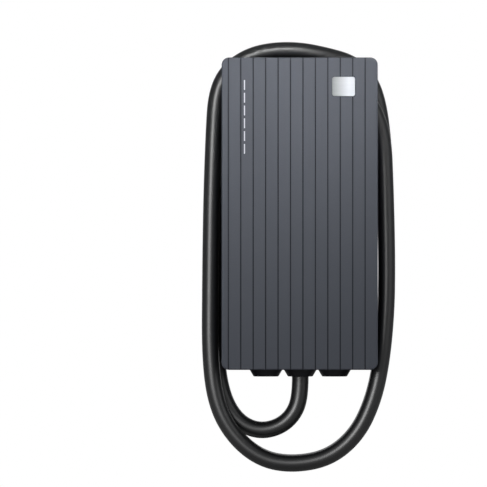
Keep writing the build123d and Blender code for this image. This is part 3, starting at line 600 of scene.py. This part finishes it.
def soften(piece: bpy.types.Object, width: float) -> bpy.types.Object:
    """Round the sharp edges a little and shade the piece smooth between them.

    Args:
        piece: the piece to finish.
        width: bevel width in millimetres, none at 0.

    Returns:
        The same piece.
    """
    angle = math.radians(SHARP_ANGLE)
    activate(piece)
    if width:
        modifier = piece.modifiers.new("edges", "BEVEL")
        modifier.width = mm(width)
        modifier.segments = 2
        modifier.limit_method = "ANGLE"
        modifier.angle_limit = angle
        bpy.ops.object.modifier_apply(modifier=modifier.name)
    bpy.ops.object.shade_smooth_by_angle(angle=angle)
    flat = piece.modifiers.new("flat_faces", "WEIGHTED_NORMAL")
    flat.keep_sharp = True
    flat.weight = 100
    bpy.ops.object.modifier_apply(modifier=flat.name)
    return piece


def merged_copy(node: str, name: str) -> bpy.types.Object:
    """Copy of a CAD node with its loose triangles merged into one clean skin.

    Args:
        node: the CAD node's name.
        name: the new piece's name.

    Returns:
        The copy, which stands for the node.
    """
    copy = bpy.data.objects.new(name, NODES[node].data.copy())
    bpy.context.scene.collection.objects.link(copy)
    copy.data.materials.clear()
    activate(copy)
    if copy.data.has_custom_normals:
        bpy.ops.mesh.customdata_custom_splitnormals_clear()
    bpy.ops.object.mode_set(mode="EDIT")
    bpy.ops.mesh.select_all(action="SELECT")
    bpy.ops.mesh.remove_doubles(threshold=SAME_CAD_POINT)
    bpy.ops.mesh.dissolve_limited(angle_limit=math.radians(FLAT_ANGLE))
    bpy.ops.object.mode_set(mode="OBJECT")
    return copy


def dress(piece: bpy.types.Object, finish: Finish) -> None:
    """Give a piece one finish."""
    piece.data.materials.clear()
    piece.data.materials.append(finish.material())


def dress_node(node: str, finish: Finish) -> None:
    """Give a CAD node a finish through its object's slots, its mesh left as it is.

    Args:
        node: the CAD node's name.
        finish: its finish.
    """
    target = NODES[node]
    if not target.material_slots:
        target.data.materials.append(None)
    for slot in target.material_slots:
        slot.link = "OBJECT"
        slot.material = finish.material()


def deliver(piece: bpy.types.Object, finish: Finish, nodes: Sequence[str]) -> None:
    """Dress a new piece, let it ride, and let it stand for its CAD nodes.

    Args:
        piece: the finished mesh.
        finish: its finish.
        nodes: the CAD nodes that it stands for.
    """
    dress(piece, finish)
    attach(piece, BODY)
    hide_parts(*nodes)
    LOG.info("%s: %d faces for %s", piece.name, len(piece.data.polygons), ", ".join(nodes))


def deliver_copy(node: str, name: str, edge: float, finish: Finish) -> bpy.types.Object:
    """Round a CAD node's edges on a merged copy, then dress and deliver the copy.

    Args:
        node: the CAD node's name.
        name: the copy's name.
        edge: bevel width in millimetres.
        finish: its finish.

    Returns:
        The copy.
    """
    copy = soften(merged_copy(node, name), edge)
    deliver(copy, finish, [node])
    return copy


# Sub-assemblies


@dataclass
class View:
    """The photograph's camera: straight at the wall through a very long lens."""

    centre_x: float = -68.6
    centre_z: float = -36.4
    frame_width: float = 594.4
    focus_out: float = 127.5
    distance: float = 14.0
    reach: float = 100.0
    sensor: float = 36.0

    def build(self) -> None:
        """Set the scene's camera."""
        data = bpy.data.cameras.new("view_camera")
        data.sensor_width = self.sensor
        data.lens = self.sensor * self.distance / mm(self.frame_width)
        data.clip_end = self.reach
        camera = bpy.data.objects.new("view_camera", data)
        middle = place(self.centre_x, self.focus_out, self.centre_z)
        camera.location = middle - Vector((0.0, self.distance, 0.0))
        camera.rotation_euler = (math.pi / 2, 0.0, 0.0)
        bpy.context.scene.collection.objects.link(camera)
        bpy.context.scene.camera = camera


@dataclass
class Softbox:
    """One soft rectangular lamp that looks at a point, in metres, watts and degrees."""

    name: str
    position: Point
    target: Point
    width: float
    height: float
    power: float
    spread: float = 180.0
    colour: str = "ffffff"
    mirrored: bool = True

    def build(self) -> None:
        """Add the lamp."""
        data = bpy.data.lights.new(self.name, "AREA")
        data.shape = "RECTANGLE"
        data.size = self.width
        data.size_y = self.height
        data.energy = self.power
        data.color = linear(self.colour)[:3]
        data.spread = math.radians(self.spread)
        lamp = bpy.data.objects.new(self.name, data)
        lamp.location = self.position
        way = Vector(self.target) - Vector(self.position)
        lamp.rotation_euler = way.to_track_quat("-Z", "Y").to_euler()
        lamp.visible_camera = False
        lamp.visible_glossy = self.mirrored
        bpy.context.scene.collection.objects.link(lamp)


@dataclass
class Studio:
    """Plain pale studio: a white backdrop behind the box in a dim room, soft lamps, and a floor below.

    The camera sees white all round. Mirrored and refracted rays see it where the backdrop hangs, and a
    share of it in the floor.
    """

    white: str = "ffffff"
    room_colour: str = "f4f6fa"
    room_level: float = 0.04
    mirrored_level: float = 0.15
    backdrop_edge: float = 0.97
    floor_colour: str = "7d7d7d"
    floor_roughness: float = 0.9
    floor_size: float = 2.4
    floor_middle_y: float = -0.35
    floor_z: float = -360.0
    floor_glow: float = 0.9
    floor_mirrored: float = 0.15
    shadow_reach: float = 0.35
    shadow_samples: int = 8
    lamps: list[Softbox] = field(default_factory=lambda: [
        Softbox("front_softbox", (-1.45, -3.85, 0.55), (0.0, -0.1, 0.0), 1.7, 1.1, 56.0),
        Softbox("front_halo", (-0.8, -2.5, 0.4), (0.0, -0.1, 0.0), 2.4, 2.0, 5.0),
        Softbox("top_wash", (0.26, -0.68, 0.5), (-0.08, -0.12, 0.18), 0.3, 0.2, 0.6, 54.0, "fffaf2", False),
        Softbox("fill_softbox", (1.9, -1.6, 0.5), (0.0, -0.05, 0.0), 1.4, 1.4, 4.0),
        Softbox("back_softbox", (0.5, 2.0, 1.2), (0.0, 0.0, 0.0), 1.8, 1.8, 24.0, mirrored=False),
        Softbox("back_card", (0.0, 2.2, 0.35), (0.0, 0.0, 0.0), 3.0, 2.2, 10.0),
        Softbox("left_card", (-2.4, 0.35, 0.3), (0.0, 0.0, 0.0), 0.8, 2.0, 22.0, mirrored=False),
        Softbox("right_card", (2.4, 0.35, 0.3), (0.0, 0.0, 0.0), 0.8, 2.0, 22.0, mirrored=False),
        Softbox("top_glint", (-0.05, -1.4, 0.8), (0.0, -0.1, 0.2), 0.8, 0.15, 0.23, 24.0),
    ])

    def build(self) -> None:
        """Add lamps, world and floor."""
        bpy.context.scene.view_settings.view_transform = "Standard"
        for lamp in self.lamps:
            lamp.build()
        self._world()
        self._floor()

    @staticmethod
    def _shown_white(
        tree: bpy.types.NodeTree, mirrored: bpy.types.NodeSocket | float
    ) -> bpy.types.NodeSocket:
        """How much of the white background a ray sees.

        Args:
            tree: the node tree.
            mirrored: the share that mirrored and refracted rays see, camera rays seeing all of it.

        Returns:
            The socket with that share.
        """
        path = add_node(tree, "ShaderNodeLightPath")
        glossy = add_node(
            tree,
            "ShaderNodeMath",
            {"operation": "MAXIMUM"},
            {0: path.outputs["Is Glossy Ray"], 1: path.outputs["Is Transmission Ray"]},
        )
        share = add_node(
            tree, "ShaderNodeMath", {"operation": "MULTIPLY"}, {0: glossy.outputs[0], 1: mirrored}
        )
        shown = add_node(
            tree,
            "ShaderNodeMath",
            {"operation": "MAXIMUM"},
            {0: path.outputs["Is Camera Ray"], 1: share.outputs[0]},
        )
        return shown.outputs[0]

    def _backdrop(self, tree: bpy.types.NodeTree) -> bpy.types.NodeSocket:
        """1 straight behind the box, where the backdrop hangs, falling to 0 beside it.

        Args:
            tree: the world's node tree, where Generated is the ray's direction.

        Returns:
            The socket with that share.
        """
        direction = add_node(tree, "ShaderNodeTexCoord")
        parts = add_node(tree, "ShaderNodeSeparateXYZ", inputs={0: direction.outputs["Generated"]})
        backdrop = add_node(
            tree,
            "ShaderNodeMapRange",
            inputs={"Value": parts.outputs["Y"], "From Min": self.backdrop_edge, "From Max": 1.0},
        )
        return backdrop.outputs["Result"]

    def _world(self) -> None:
        """World that looks white to the camera and lights the room dimly."""
        world = bpy.data.worlds.new("studio_world")
        tree = emptied(world)
        path = add_node(tree, "ShaderNodeLightPath")
        level = add_node(
            tree,
            "ShaderNodeMapRange",
            inputs={
                "Value": path.outputs["Is Glossy Ray"],
                "To Min": self.room_level,
                "To Max": self.mirrored_level,
            },
        )
        soft = add_node(
            tree,
            "ShaderNodeBackground",
            inputs={"Color": linear(self.room_colour), "Strength": level.outputs["Result"]},
        )
        white = add_node(
            tree, "ShaderNodeBackground", inputs={"Color": linear(self.white), "Strength": 1.0})
        shown = self._shown_white(tree, self._backdrop(tree))
        mixed = add_node(
            tree, "ShaderNodeMixShader", inputs={0: shown, 1: soft.outputs[0], 2: white.outputs[0]})
        add_node(tree, "ShaderNodeOutputWorld", inputs={"Surface": mixed.outputs[0]})
        bpy.context.scene.world = world

    def _floor(self) -> None:
        """Pale floor below the box that takes its shadow."""
        deselect()
        middle = (0.0, self.floor_middle_y, mm(self.floor_z))
        bpy.ops.mesh.primitive_plane_add(size=self.floor_size, location=middle)
        floor = settle(bpy.context.object, "studio_floor")
        floor.data.materials.append(self._floor_material())

    def _floor_material(self) -> bpy.types.Material:
        """Matt vinyl that shows as the white background, with the box's soft shadow on it.

        Returns:
            The floor's material.
        """
        material = bpy.data.materials.new("studio_floor_vinyl")
        tree = emptied(material)
        matt = add_node(
            tree,
            "ShaderNodeBsdfDiffuse",
            inputs={"Color": linear(self.floor_colour), "Roughness": self.floor_roughness},
        )
        # What stands within the shadow's reach, in metres, darkens the white.
        occlusion = add_node(
            tree,
            "ShaderNodeAmbientOcclusion",
            {"samples": self.shadow_samples},
            {"Distance": self.shadow_reach},
        )
        white = add_node(
            tree,
            "ShaderNodeEmission",
            inputs={"Color": linear(self.white), "Strength": occlusion.outputs["AO"]},
        )
        share = add_node(
            tree,
            "ShaderNodeMath",
            {"operation": "MULTIPLY"},
            {0: self._shown_white(tree, self.floor_mirrored), 1: self.floor_glow},
        )
        mixed = add_node(
            tree,
            "ShaderNodeMixShader",
            inputs={0: share.outputs[0], 1: matt.outputs[0], 2: white.outputs[0]},
        )
        add_node(tree, "ShaderNodeOutputMaterial", inputs={"Surface": mixed.outputs[0]})
        return material


@dataclass
class ChargingCable:
    """The charging cable: one smooth line from the middle gland, wound round the housing, into the plug."""

    diameter: float = CABLE_DIAMETER
    length: float = 4.515
    riser_outline: Profile = (
        (1, -199.4), (1, -222), (-6, -244.5), (-23, -260.5), (-46.5, -266.5), (-69, -259.5),
        (-86.5, -240.5), (-97.5, -211), (-102.5, -168), (-104, -98), (-103.5, -20), (-102, 48),
        (-99, 104), (-87.5, 140), (-63, 164), (-32, 175.5), (0, 178.5), (31, 172), (60, 161),
        (82, 143), (96, 116),
    )
    riser_steps: Sequence[float] = (0.0,) * 11 + (
        0.01, 0.05, 0.14, 0.29, 0.43, 0.57, 0.74, 0.93, 1.05, 1.05)
    turn_outline: Profile = (
        (102.8, 88), (104.8, 42), (106.4, -14), (107.2, -68), (106.3, -120), (101, -178), (91, -227),
        (71, -270), (37, -299), (-7, -307.5), (-46, -301), (-79, -275), (-101.5, -236), (-109.8, -178),
        (-109.2, -82), (-107.8, 18), (-105, 98), (-102.2, 145), (-90, 173), (-66.5, 191), (-38, 199.5),
        (-2, 200.5), (32, 194), (64, 185), (86, 165), (97, 134),
    )
    first_turn_steps: Sequence[float] = (0.0,) * 22 + (0.12, 0.46, 0.8, 0.97)
    later_turn_steps: Sequence[float] = (0.0,) * 8 + (0.06, 0.45, 0.9) + (1.0,) * 15
    tail_outline: Profile = (
        (-38, 199.5), (-4, 200.5), (25, 196.5), (49, 184), (63, 162), (67.5, 134), (67.5, 104))
    tail_steps: Sequence[float] = (0.0, 0.0, 0.0, 0.04, 0.36, 1.0, 1.0)
    turns: int = 3
    kept_of_last_turn: int = 20
    gland_out: float = GLAND_OUT
    front_row: float = 85.0
    row_pitch: float = 21.0
    back_row: float = 22.0
    plug_out: float = 29.0
    steps_along: int = 10
    steps_round: int = 9

    def route(self) -> list[Vector]:
        """Lay the cable's line through its named outlines and rows.

        Returns:
            Its points in metres, from the gland's mouth to the plug's boot.
        """
        points = [
            place(x, self.gland_out + self.row_pitch * step, z)
            for (x, z), step in zip(self.riser_outline, self.riser_steps)
        ]
        for turn in range(self.turns):
            steps = self.later_turn_steps if turn else self.first_turn_steps
            kept = self.kept_of_last_turn if turn == self.turns - 1 else len(self.turn_outline)
            for (x, z), step in list(zip(self.turn_outline, steps))[:kept]:
                points.append(place(x, self.front_row - self.row_pitch * (turn + step), z))
        reach = self.plug_out - self.back_row
        for (x, z), step in zip(self.tail_outline, self.tail_steps):
            points.append(place(x, self.back_row + reach * step, z))
        return points

    def build(self, on_it: Sequence[object]) -> None:
        """Args:
            on_it: the pieces and nodes of the plug on its end, which are not used.
        """
        route = self.route()
        curve = bpy.data.curves.new("charging_cable", "CURVE")
        curve.dimensions = "3D"
        spline = curve.splines.new("NURBS")
        spline.points.add(len(route) - 1)
        for point, position in zip(spline.points, route):
            point.co = (*position, 1.0)
        spline.order_u = 3
        spline.use_endpoint_u = True
        spline.resolution_u = self.steps_along
        curve.bevel_depth = mm(self.diameter) / 2
        curve.bevel_resolution = self.steps_round
        cable = bpy.data.objects.new("charging_cable", curve)
        bpy.context.scene.collection.objects.link(cable)
        curve.materials.append(CABLE_JACKET.material())
        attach(cable, BODY)
        nodes = ["cable_riser"] + [f"cable_turn_{i + 1}" for i in range(self.turns)] + ["cable_tail"]
        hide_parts(*nodes)
        dress_node("cable_root", CABLE_JACKET)
        LOG.info("charging_cable: %d route points", len(route))


@dataclass
class FrontCover:
    """Ribbed front cover: a shallow tray with twelve grooves, six light slots and a badge recess."""

    half_width: float = 95.3
    half_height: float = 190.75
    back: float = 97.5
    face: float = 127.5
    wall: float = 2.6
    corner: float = 9.0
    edge: float = 2.0
    groove_count: int = 12
    first_groove: float = -87.1
    groove_pitch: float = 15.18
    groove_width: float = 1.4
    groove_depth: float = 1.3
    slot_x: float = -67.4
    slot_top: float = 163.1
    slot_pitch: float = 15.6
    slot_count: int = 6
    slot_size: tuple[float, float] = (1.3, 11.9)
    badge_middle: tuple[float, float] = (53.6, 155.2)
    badge_size: tuple[float, float] = (28.8, 24.3)
    badge_recess: float = 1.0
    boss_places: Profile = ((-54.0, 126.0), (54.0, 126.0), (-54.0, -145.0), (54.0, -145.0))
    boss_seat: float = 101.5
    boss_radius: float = 5.0
    rib_heights: Sequence[float] = (37.25, -53.9, -145.0)
    rib_places: Sequence[float] = (-27.0, 27.0)
    rib_reach: float = 5.0
    rib_thickness: float = 1.6
    screw_places: Sequence[float] = (-60.0, 60.0)
    screw_out: float = 102.5
    screw_radius: float = 3.3
    screw_reach: float = 4.0
    recess_corner: float = 3.3
    softness: float = 0.15
    # How far a cutter stands past what it cuts, and how far a joined piece sinks in.
    past: float = 2.0
    sink: float = 0.5
    # The painted groove shade starts that far below the face, and reaches the groove's walls within a hair.
    groove_rim: float = 0.12
    hair: float = 0.05

    def _tray(self, grow: float, back: float, face: float, corner: float, name: str) -> bpy.types.Object:
        """Rounded block of the cover's outline, made larger or smaller all round.

        Args:
            grow: how far each side moves out, in millimetres.
            back: distance of its back from the wall.
            face: distance of its face from the wall.
            corner: radius of its corners.
            name: the piece's name.

        Returns:
            The block.
        """
        reach_x = self.half_width + grow
        reach_z = self.half_height + grow
        block = box(name, place(-reach_x, face, -reach_z), place(reach_x, back, reach_z))
        bevel_where(block, runs_out, corner, segments=8)
        return block

    def groove_places(self) -> list[float]:
        """Each groove's middle along X in millimetres."""
        return [self.first_groove + i * self.groove_pitch for i in range(self.groove_count)]

    def slot_tops(self) -> list[float]:
        """Height of each light slot's upper end in millimetres."""
        return [self.slot_top - i * self.slot_pitch for i in range(self.slot_count)]

    def _cutters(self) -> bpy.types.Object:
        """Make the tool that cuts grooves and slots.

        Returns:
            The boxes of all of them as one piece.
        """
        proud = self.face + self.past
        half = self.groove_width / 2
        end = self.half_height + self.past
        groove = box("groove", place(-half, proud, -end), place(half, self.face - self.groove_depth, end))
        tools = spread(groove, [place(x, 0.0, 0.0) for x in self.groove_places()])
        width, length = self.slot_size
        behind = self.face - self.wall - self.past
        slot = box("slot", place(-width / 2, proud, -length), place(width / 2, behind, 0.0))
        tools += spread(slot, [place(self.slot_x, 0.0, top) for top in self.slot_tops()])
        return joined("front_tools", tools)

    def _recess(self) -> bpy.types.Object:
        """Make the tool that cuts the badge plate's shallow pocket.

        Returns:
            The pocket's block.
        """
        x, z = self.badge_middle
        half_width, half_height = (size / 2 for size in self.badge_size)
        pocket = box(
            "badge_pocket",
            place(x - half_width, self.face + self.past, z - half_height),
            place(x + half_width, self.face - self.badge_recess, z + half_height),
        )
        bevel_where(pocket, runs_out, self.recess_corner, segments=6)
        return pocket

    def _inside(self) -> list[bpy.types.Object]:
        """Model the bosses and stiffening ribs behind the face.

        Returns:
            The pieces to join to the cover.
        """
        inner = self.face - self.wall + self.sink
        start, end = place(0.0, self.boss_seat, 0.0), place(0.0, inner, 0.0)
        boss = bar("boss", start, end, self.boss_radius, sides=32)
        pieces = spread(boss, [place(x, 0.0, z) for x, z in self.boss_places])
        near = self.face - self.wall - self.rib_reach
        reach = self.half_width - self.wall + self.sink
        half = self.rib_thickness / 2
        rib = box("rib", place(-reach, inner, -half), place(reach, near, half))
        pieces += spread(rib, [place(0.0, 0.0, z) for z in self.rib_heights])
        low, high = place(-half, inner, self.rib_heights[-1]), place(half, near, self.rib_heights[0])
        pieces += spread(box("upright", low, high), [place(x, 0.0, 0.0) for x in self.rib_places])
        return pieces

    def build(self) -> None:
        """Model, dress and deliver the cover."""
        cover = self._tray(0.0, self.back, self.face, self.corner, "ribbed_front_cover")
        bevel_where(cover, at_depth(self.face), self.edge, segments=5)
        floor, corner = self.face - self.wall, self.corner - self.wall
        hollow = self._tray(-self.wall, self.back - self.past, floor, corner, "hollow")
        for tool in (hollow, self._cutters(), self._recess()):
            combine(cover, tool, Boolean.CUT_AWAY)
        for piece in self._inside():
            combine(cover, piece, Boolean.ADDED_ON)
        low = place(0.0, self.screw_out, -self.half_height - self.past)
        high = place(0.0, self.screw_out, -self.half_height + self.screw_reach)
        hole = bar("screw_hole", low, high, self.screw_radius, sides=32)
        for tool in spread(hole, [place(x, 0.0, 0.0) for x in self.screw_places]):
            combine(cover, tool, Boolean.CUT_AWAY)
        soften(cover, self.softness)
        deliver(cover, COVER_PLASTIC, ["front_cover"])
        # The grooves' second finish is painted shade.
        cover.data.materials.append(GROOVE_PAINTED_SHADE.material())
        self._shade_grooves(cover)

    def _shade_grooves(self, cover: bpy.types.Object) -> None:
        """Give the faces inside the grooves the darker finish, which paints the shade in them.

        Args:
            cover: the cover, with that finish in its second slot.
        """
        floor = -mm(self.face - self.groove_depth - self.hair)
        rim = -mm(self.face - self.groove_rim)
        reach = mm(self.groove_width / 2 + self.hair)
        places = [mm(x) for x in self.groove_places()]
        for face in cover.data.polygons:
            middle = face.center
            inside = rim < middle.y < floor
            if inside and any(abs(middle.x - x) < reach for x in places):
                face.material_index = 1


@dataclass
class BadgePlate:
    """Bare brushed plate in the cover's pocket, with rounded corners and a fine bevel round its face."""

    cover: FrontCover
    clearance: float = 0.3
    back: float = 126.5
    face: float = 127.9
    corner: float = 3.0
    edge: float = 0.5

    def build(self) -> None:
        """Model, dress and deliver the plate."""
        x, z = self.cover.badge_middle
        half_width, half_height = (size / 2 - self.clearance for size in self.cover.badge_size)
        plate = box(
            "badge_plate_bare",
            place(x - half_width, self.face, z - half_height),
            place(x + half_width, self.back, z + half_height),
        )
        bevel_where(plate, runs_out, self.corner, segments=8)
        bevel_where(plate, at_depth(self.face), self.edge, segments=3)
        soften(plate, 0.0)
        deliver(plate, BADGE_METAL, ["badge_plate"])


@dataclass
class LightBar:
    """Six frosted blades on one spine, one in each slot of the cover, with the lit board behind them."""

    cover: FrontCover
    width: float = 1.15
    length: float = 11.75
    face: float = 127.3
    spine_face: float = 124.9
    spine_back: float = 121.9
    spine_width: float = 6.0
    corner: float = 0.5
    sink: float = 0.5
    softness: float = 0.15

    def build(self) -> None:
        """Model, dress and deliver the light guide, and dress its board."""
        x, tops, slot_length = self.cover.slot_x, self.cover.slot_tops(), self.cover.slot_size[1]
        blade = box(
            "blade",
            place(-self.width / 2, self.face, -self.length),
            place(self.width / 2, self.spine_face - self.sink, 0.0),
        )
        bevel_where(blade, runs_out, self.corner, segments=4)
        clearance = (slot_length - self.length) / 2
        blades = spread(blade, [place(x, 0.0, top - clearance) for top in tops])
        half = self.spine_width / 2
        guide = box(
            "light_blades",
            place(x - half, self.spine_face, tops[-1] - slot_length),
            place(x + half, self.spine_back, tops[0]),
        )
        for blade in blades:
            combine(guide, blade, Boolean.ADDED_ON)
        soften(guide, self.softness)
        deliver(guide, BLADE_ACRYLIC, ["light_guide"])
        dress_node("led_board", BOARD_EPOXY)
        dress_node("status_leds", LAMP_LENS)
        dress_node("led_board_screws", SCREW_ZINC)


@dataclass
class Housing:
    """The moulded housing behind the cover, its lid and the wall bracket."""

    edge: float = 0.8
    lid_edge: float = 0.4
    screws: Sequence[str] = (
        "lid_screws", "bracket_lock_screws", "cover_screws", "board_screws", "terminal_screws")

    def build(self) -> None:
        """Round the CAD nodes' edges, dress and deliver them."""
        deliver_copy("body_shell", "moulded_housing", self.edge, HOUSING_PLASTIC)
        deliver_copy("inner_lid", "housing_lid", self.lid_edge, LID_PLASTIC)
        deliver_copy("wall_bracket", "galvanised_bracket", self.edge, BRACKET_ZINC)
        dress_node("lid_gasket", SEAL_RUBBER)
        for node in self.screws:
            dress_node(node, SCREW_ZINC)


@dataclass
class CableGlands:
    """The cable glands: hexagon bodies, dome nuts with grip ribs, and what fills their mouths."""

    out: float = GLAND_OUT
    mouth: float = -199.4
    # Radius and height above the mouth of each ring: down the nut's outside and up its inside.
    nut_profile: Profile = (
        (15.15, 24.4), (19.5, 24.4), (20.0, 23.9), (20.0, 8.8), (19.75, 7.8), (19.2, 6.8), (15.8, 1.0),
        (15.0, 0.2), (14.4, 0.0), (11.05, 0.0), (10.45, 0.6), (10.45, 2.0), (15.15, 4.0), (15.15, 24.4),
    )
    flute_count: int = 12
    flute_radius: float = 2.0
    flute_ring: float = 21.1
    # Heights above the mouth, the flutes' upper end being past the nut.
    flute_ends: tuple[float, float] = (9.0, 25.4)
    seal_ends: tuple[float, float] = (4.3, 15.1)
    seal_radius: float = 14.7
    bore_chamfer: float = 0.8
    rim_chamfer: float = 0.6
    nut_edge: float = 0.25
    body_edge: float = 0.4

    def _nut(self) -> bpy.types.Object:
        """Turn the dome nut's rounded profile about x = 0 and cut its grip flutes.

        Returns:
            The nut.
        """
        profile = [(radius, self.mouth + height) for radius, height in self.nut_profile]
        nut = rings("gland_nut_ribbed", 0.0, self.out, profile)
        low, high = (place(0.0, self.out, self.mouth + end) for end in self.flute_ends)
        flute = bar("flute", low, high, self.flute_radius, sides=24)
        turns = [math.tau * i / self.flute_count for i in range(self.flute_count)]
        ring = self.flute_ring
        shifts = [place(ring * math.cos(turn), ring * math.sin(turn), 0.0) for turn in turns]
        combine(nut, joined("flutes", spread(flute, shifts)), Boolean.CUT_AWAY)
        return soften(nut, self.nut_edge)

    def _seal(self, name: str, x: float, bore: float) -> bpy.types.Object:
        """Turn a seal with both edges of its lower end chamfered.

        Args:
            name: the seal's name.
            x: its gland's place in millimetres.
            bore: radius of its hole in millimetres.

        Returns:
            The seal.
        """
        low, high = (self.mouth + end for end in self.seal_ends)
        outer = self.seal_radius
        profile = [
            (bore, low + self.bore_chamfer), (bore + self.bore_chamfer, low),
            (outer - self.rim_chamfer, low), (outer, low + self.rim_chamfer),
            (outer, high), (bore, high), (bore, low + self.bore_chamfer),
        ]
        return soften(rings(name, x, self.out, profile, sides=64), 0.0)

    def build(self) -> None:
        """Copy the nut to each gland, model the rest of the glands, and dress and deliver them."""
        model = self._nut()
        for side, x, bore in GLANDS:
            nut = copied(model, f"gland_nut_ribbed_{side}", place(x, 0.0, 0.0))
            deliver(nut, GLAND_NYLON, [f"gland_nut_{side}"])
            hexagon = f"gland_hexagon_{side}"
            deliver_copy(f"gland_body_{side}", hexagon, self.body_edge, GLAND_NYLON)
            dress_node(f"gland_locknut_{side}", GLAND_NYLON)
            seal = self._seal(f"gland_seal_ring_{side}", x, bore)
            deliver(seal, SEAL_RUBBER, [f"gland_seal_{side}"])
        bpy.data.objects.remove(model)
        dress_node("gland_blank_right", GLAND_NYLON)


@dataclass
class ChargingPlug:
    """The vehicle plug, parked nose down in its holster in the bay behind the winding."""

    x: float = 67.5
    out: float = 29.0
    grip_top: float = 70.0
    grip_bottom: float = -48.0
    grip_profile: Profile = (
        (12.0, 70.0), (17.0, 70.0), (18.0, 68.8), (19.4, 60.0), (20.8, 50.0), (21.9, 40.0),
        (22.4, 31.0), (22.3, 20.0), (21.8, 8.0), (21.1, -6.0), (21.3, -16.0), (22.2, -25.0),
        (24.0, -32.5), (25.6, -36.6), (26.3, -38.4), (26.5, -39.4), (26.5, -46.8), (25.6, -48.0),
        (12.0, -48.0),
    )
    grip_edge: float = 0.2
    joint_middle: float = 23.0
    joint_half_width: float = 0.35
    joint_half_reach: float = 6.0
    joint_depth: float = 0.7
    joint_core_ends: Profile = ((12.0, -47.0), (12.0, 69.0), (16.3, 69.0))
    # How far the joint's cutter stands past the grip's ends.
    past: float = 1.0
    boot_bore: float = 8.0
    boot_grooves: Sequence[float] = (75.9, 83.3, 90.7, 98.1)
    # Depth and height of each ring in one rounded groove.
    groove_profile: Profile = ((0.0, 0.0), (0.35, 0.25), (1.6, 0.7), (1.6, 2.3), (0.65, 2.75), (0.3, 3.0))
    boot_radius: float = 17.0
    boot_taper: float = 3.5
    boot_length: float = 34.0
    boot_tip: Profile = ((13.7, 102.8), (13.1, 103.8), (12.0, 104.0), (10.3, 104.0), (8.0, 103.0))
    nose_edge: float = 0.4
    holster_edge: float = 0.5

    def _grip(self) -> bpy.types.Object:
        """Turn the waisted grip and cut the joint line of its two shells.

        Returns:
            The grip.
        """
        grip = rings("plug_grip", self.x, self.out, self.grip_profile)
        skin = [(radius - self.joint_depth, z) for radius, z in self.grip_profile[1:-1]]
        half, reach = self.joint_half_width, self.joint_half_reach
        low = place(self.x - reach, self.out + half, self.grip_bottom - self.past)
        high = place(self.x + reach, self.out - half, self.grip_top + self.past)
        shifts = [place(side * self.joint_middle, 0.0, 0.0) for side in (-1, 1)]
        joint = joined("joint_lines", spread(box("joint_line", low, high), shifts))
        core = rings("joint_core", self.x, self.out, [*skin, *self.joint_core_ends])
        combine(joint, core, Boolean.CUT_AWAY)
        combine(grip, joint, Boolean.CUT_AWAY)
        return soften(grip, self.grip_edge)

    def _boot(self) -> bpy.types.Object:
        """Turn the tapered strain relief with its rounded grooves.

        Returns:
            The boot.
        """
        profile = [(self.boot_bore, self.grip_top), (self.boot_radius, self.grip_top)]
        for z in self.boot_grooves:
            radius = self.boot_radius - self.boot_taper * (z - self.grip_top) / self.boot_length
            profile += [(radius - depth, z + height) for depth, height in self.groove_profile]
        profile += self.boot_tip
        return soften(rings("plug_boot_ribbed", self.x, self.out, profile), 0.0)

    def build(self) -> list[object]:
        """Model, dress and deliver the plug and its holster.

        Returns:
            The pieces and nodes that are on the cable's end.
        """
        grip = self._grip()
        deliver(grip, PLUG_PLASTIC, ["plug_shell_front", "plug_shell_back"])
        boot = self._boot()
        deliver(boot, PLUG_RUBBER, ["plug_boot"])
        nose = deliver_copy("plug_nose", "plug_nose_sleeve", self.nose_edge, PLUG_PLASTIC)
        deliver_copy("plug_holster", "plug_holster_cup", self.holster_edge, HOUSING_PLASTIC)
        dress_node("plug_screws", SCREW_ZINC)
        dress_node("holster_screws", SCREW_ZINC)
        dress_node("plug_contacts", CONTACT_METAL)
        return [grip, boot, nose, "plug_screws", "plug_contacts"]


@dataclass
class Electronics:
    """Boards, terminals and power parts inside the housing."""

    finishes: dict[str, Finish] = field(default_factory=lambda: {
        "main_board": BOARD_EPOXY,
        "control_board": BOARD_EPOXY,
        "card_reader_board": BOARD_EPOXY,
        "card_reader_coil": COPPER_WIRE,
        "supply_winding": COPPER_WIRE,
        "supply_core": CORE_STEEL,
        "radio_module": CORE_STEEL,
        "power_relay_1": COMPONENT_EPOXY,
        "power_relay_2": COMPONENT_EPOXY,
        "current_sensor": COMPONENT_EPOXY,
        "capacitors": COMPONENT_EPOXY,
        "processor_chips": COMPONENT_EPOXY,
        "input_terminals": TERMINAL_NYLON,
        "output_terminals": TERMINAL_NYLON,
        "output_cores": CORE_INSULATION,
    })

    def build(self) -> None:
        """Dress every board and component."""
        for node, finish in self.finishes.items():
            dress_node(node, finish)
        LOG.info("electronics: %d nodes dressed", len(self.finishes))


def main() -> None:
    """Build the wall box piece by piece."""
    logging.basicConfig(level=logging.INFO, format="%(message)s")
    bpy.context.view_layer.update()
    View().build()
    Studio().build()
    on_the_cable = ChargingPlug().build()
    ChargingCable().build(on_the_cable)
    cover = FrontCover()
    cover.build()
    BadgePlate(cover).build()
    LightBar(cover).build()
    Housing().build()
    CableGlands().build()
    Electronics().build()


if __name__ == "__main__":
    main()
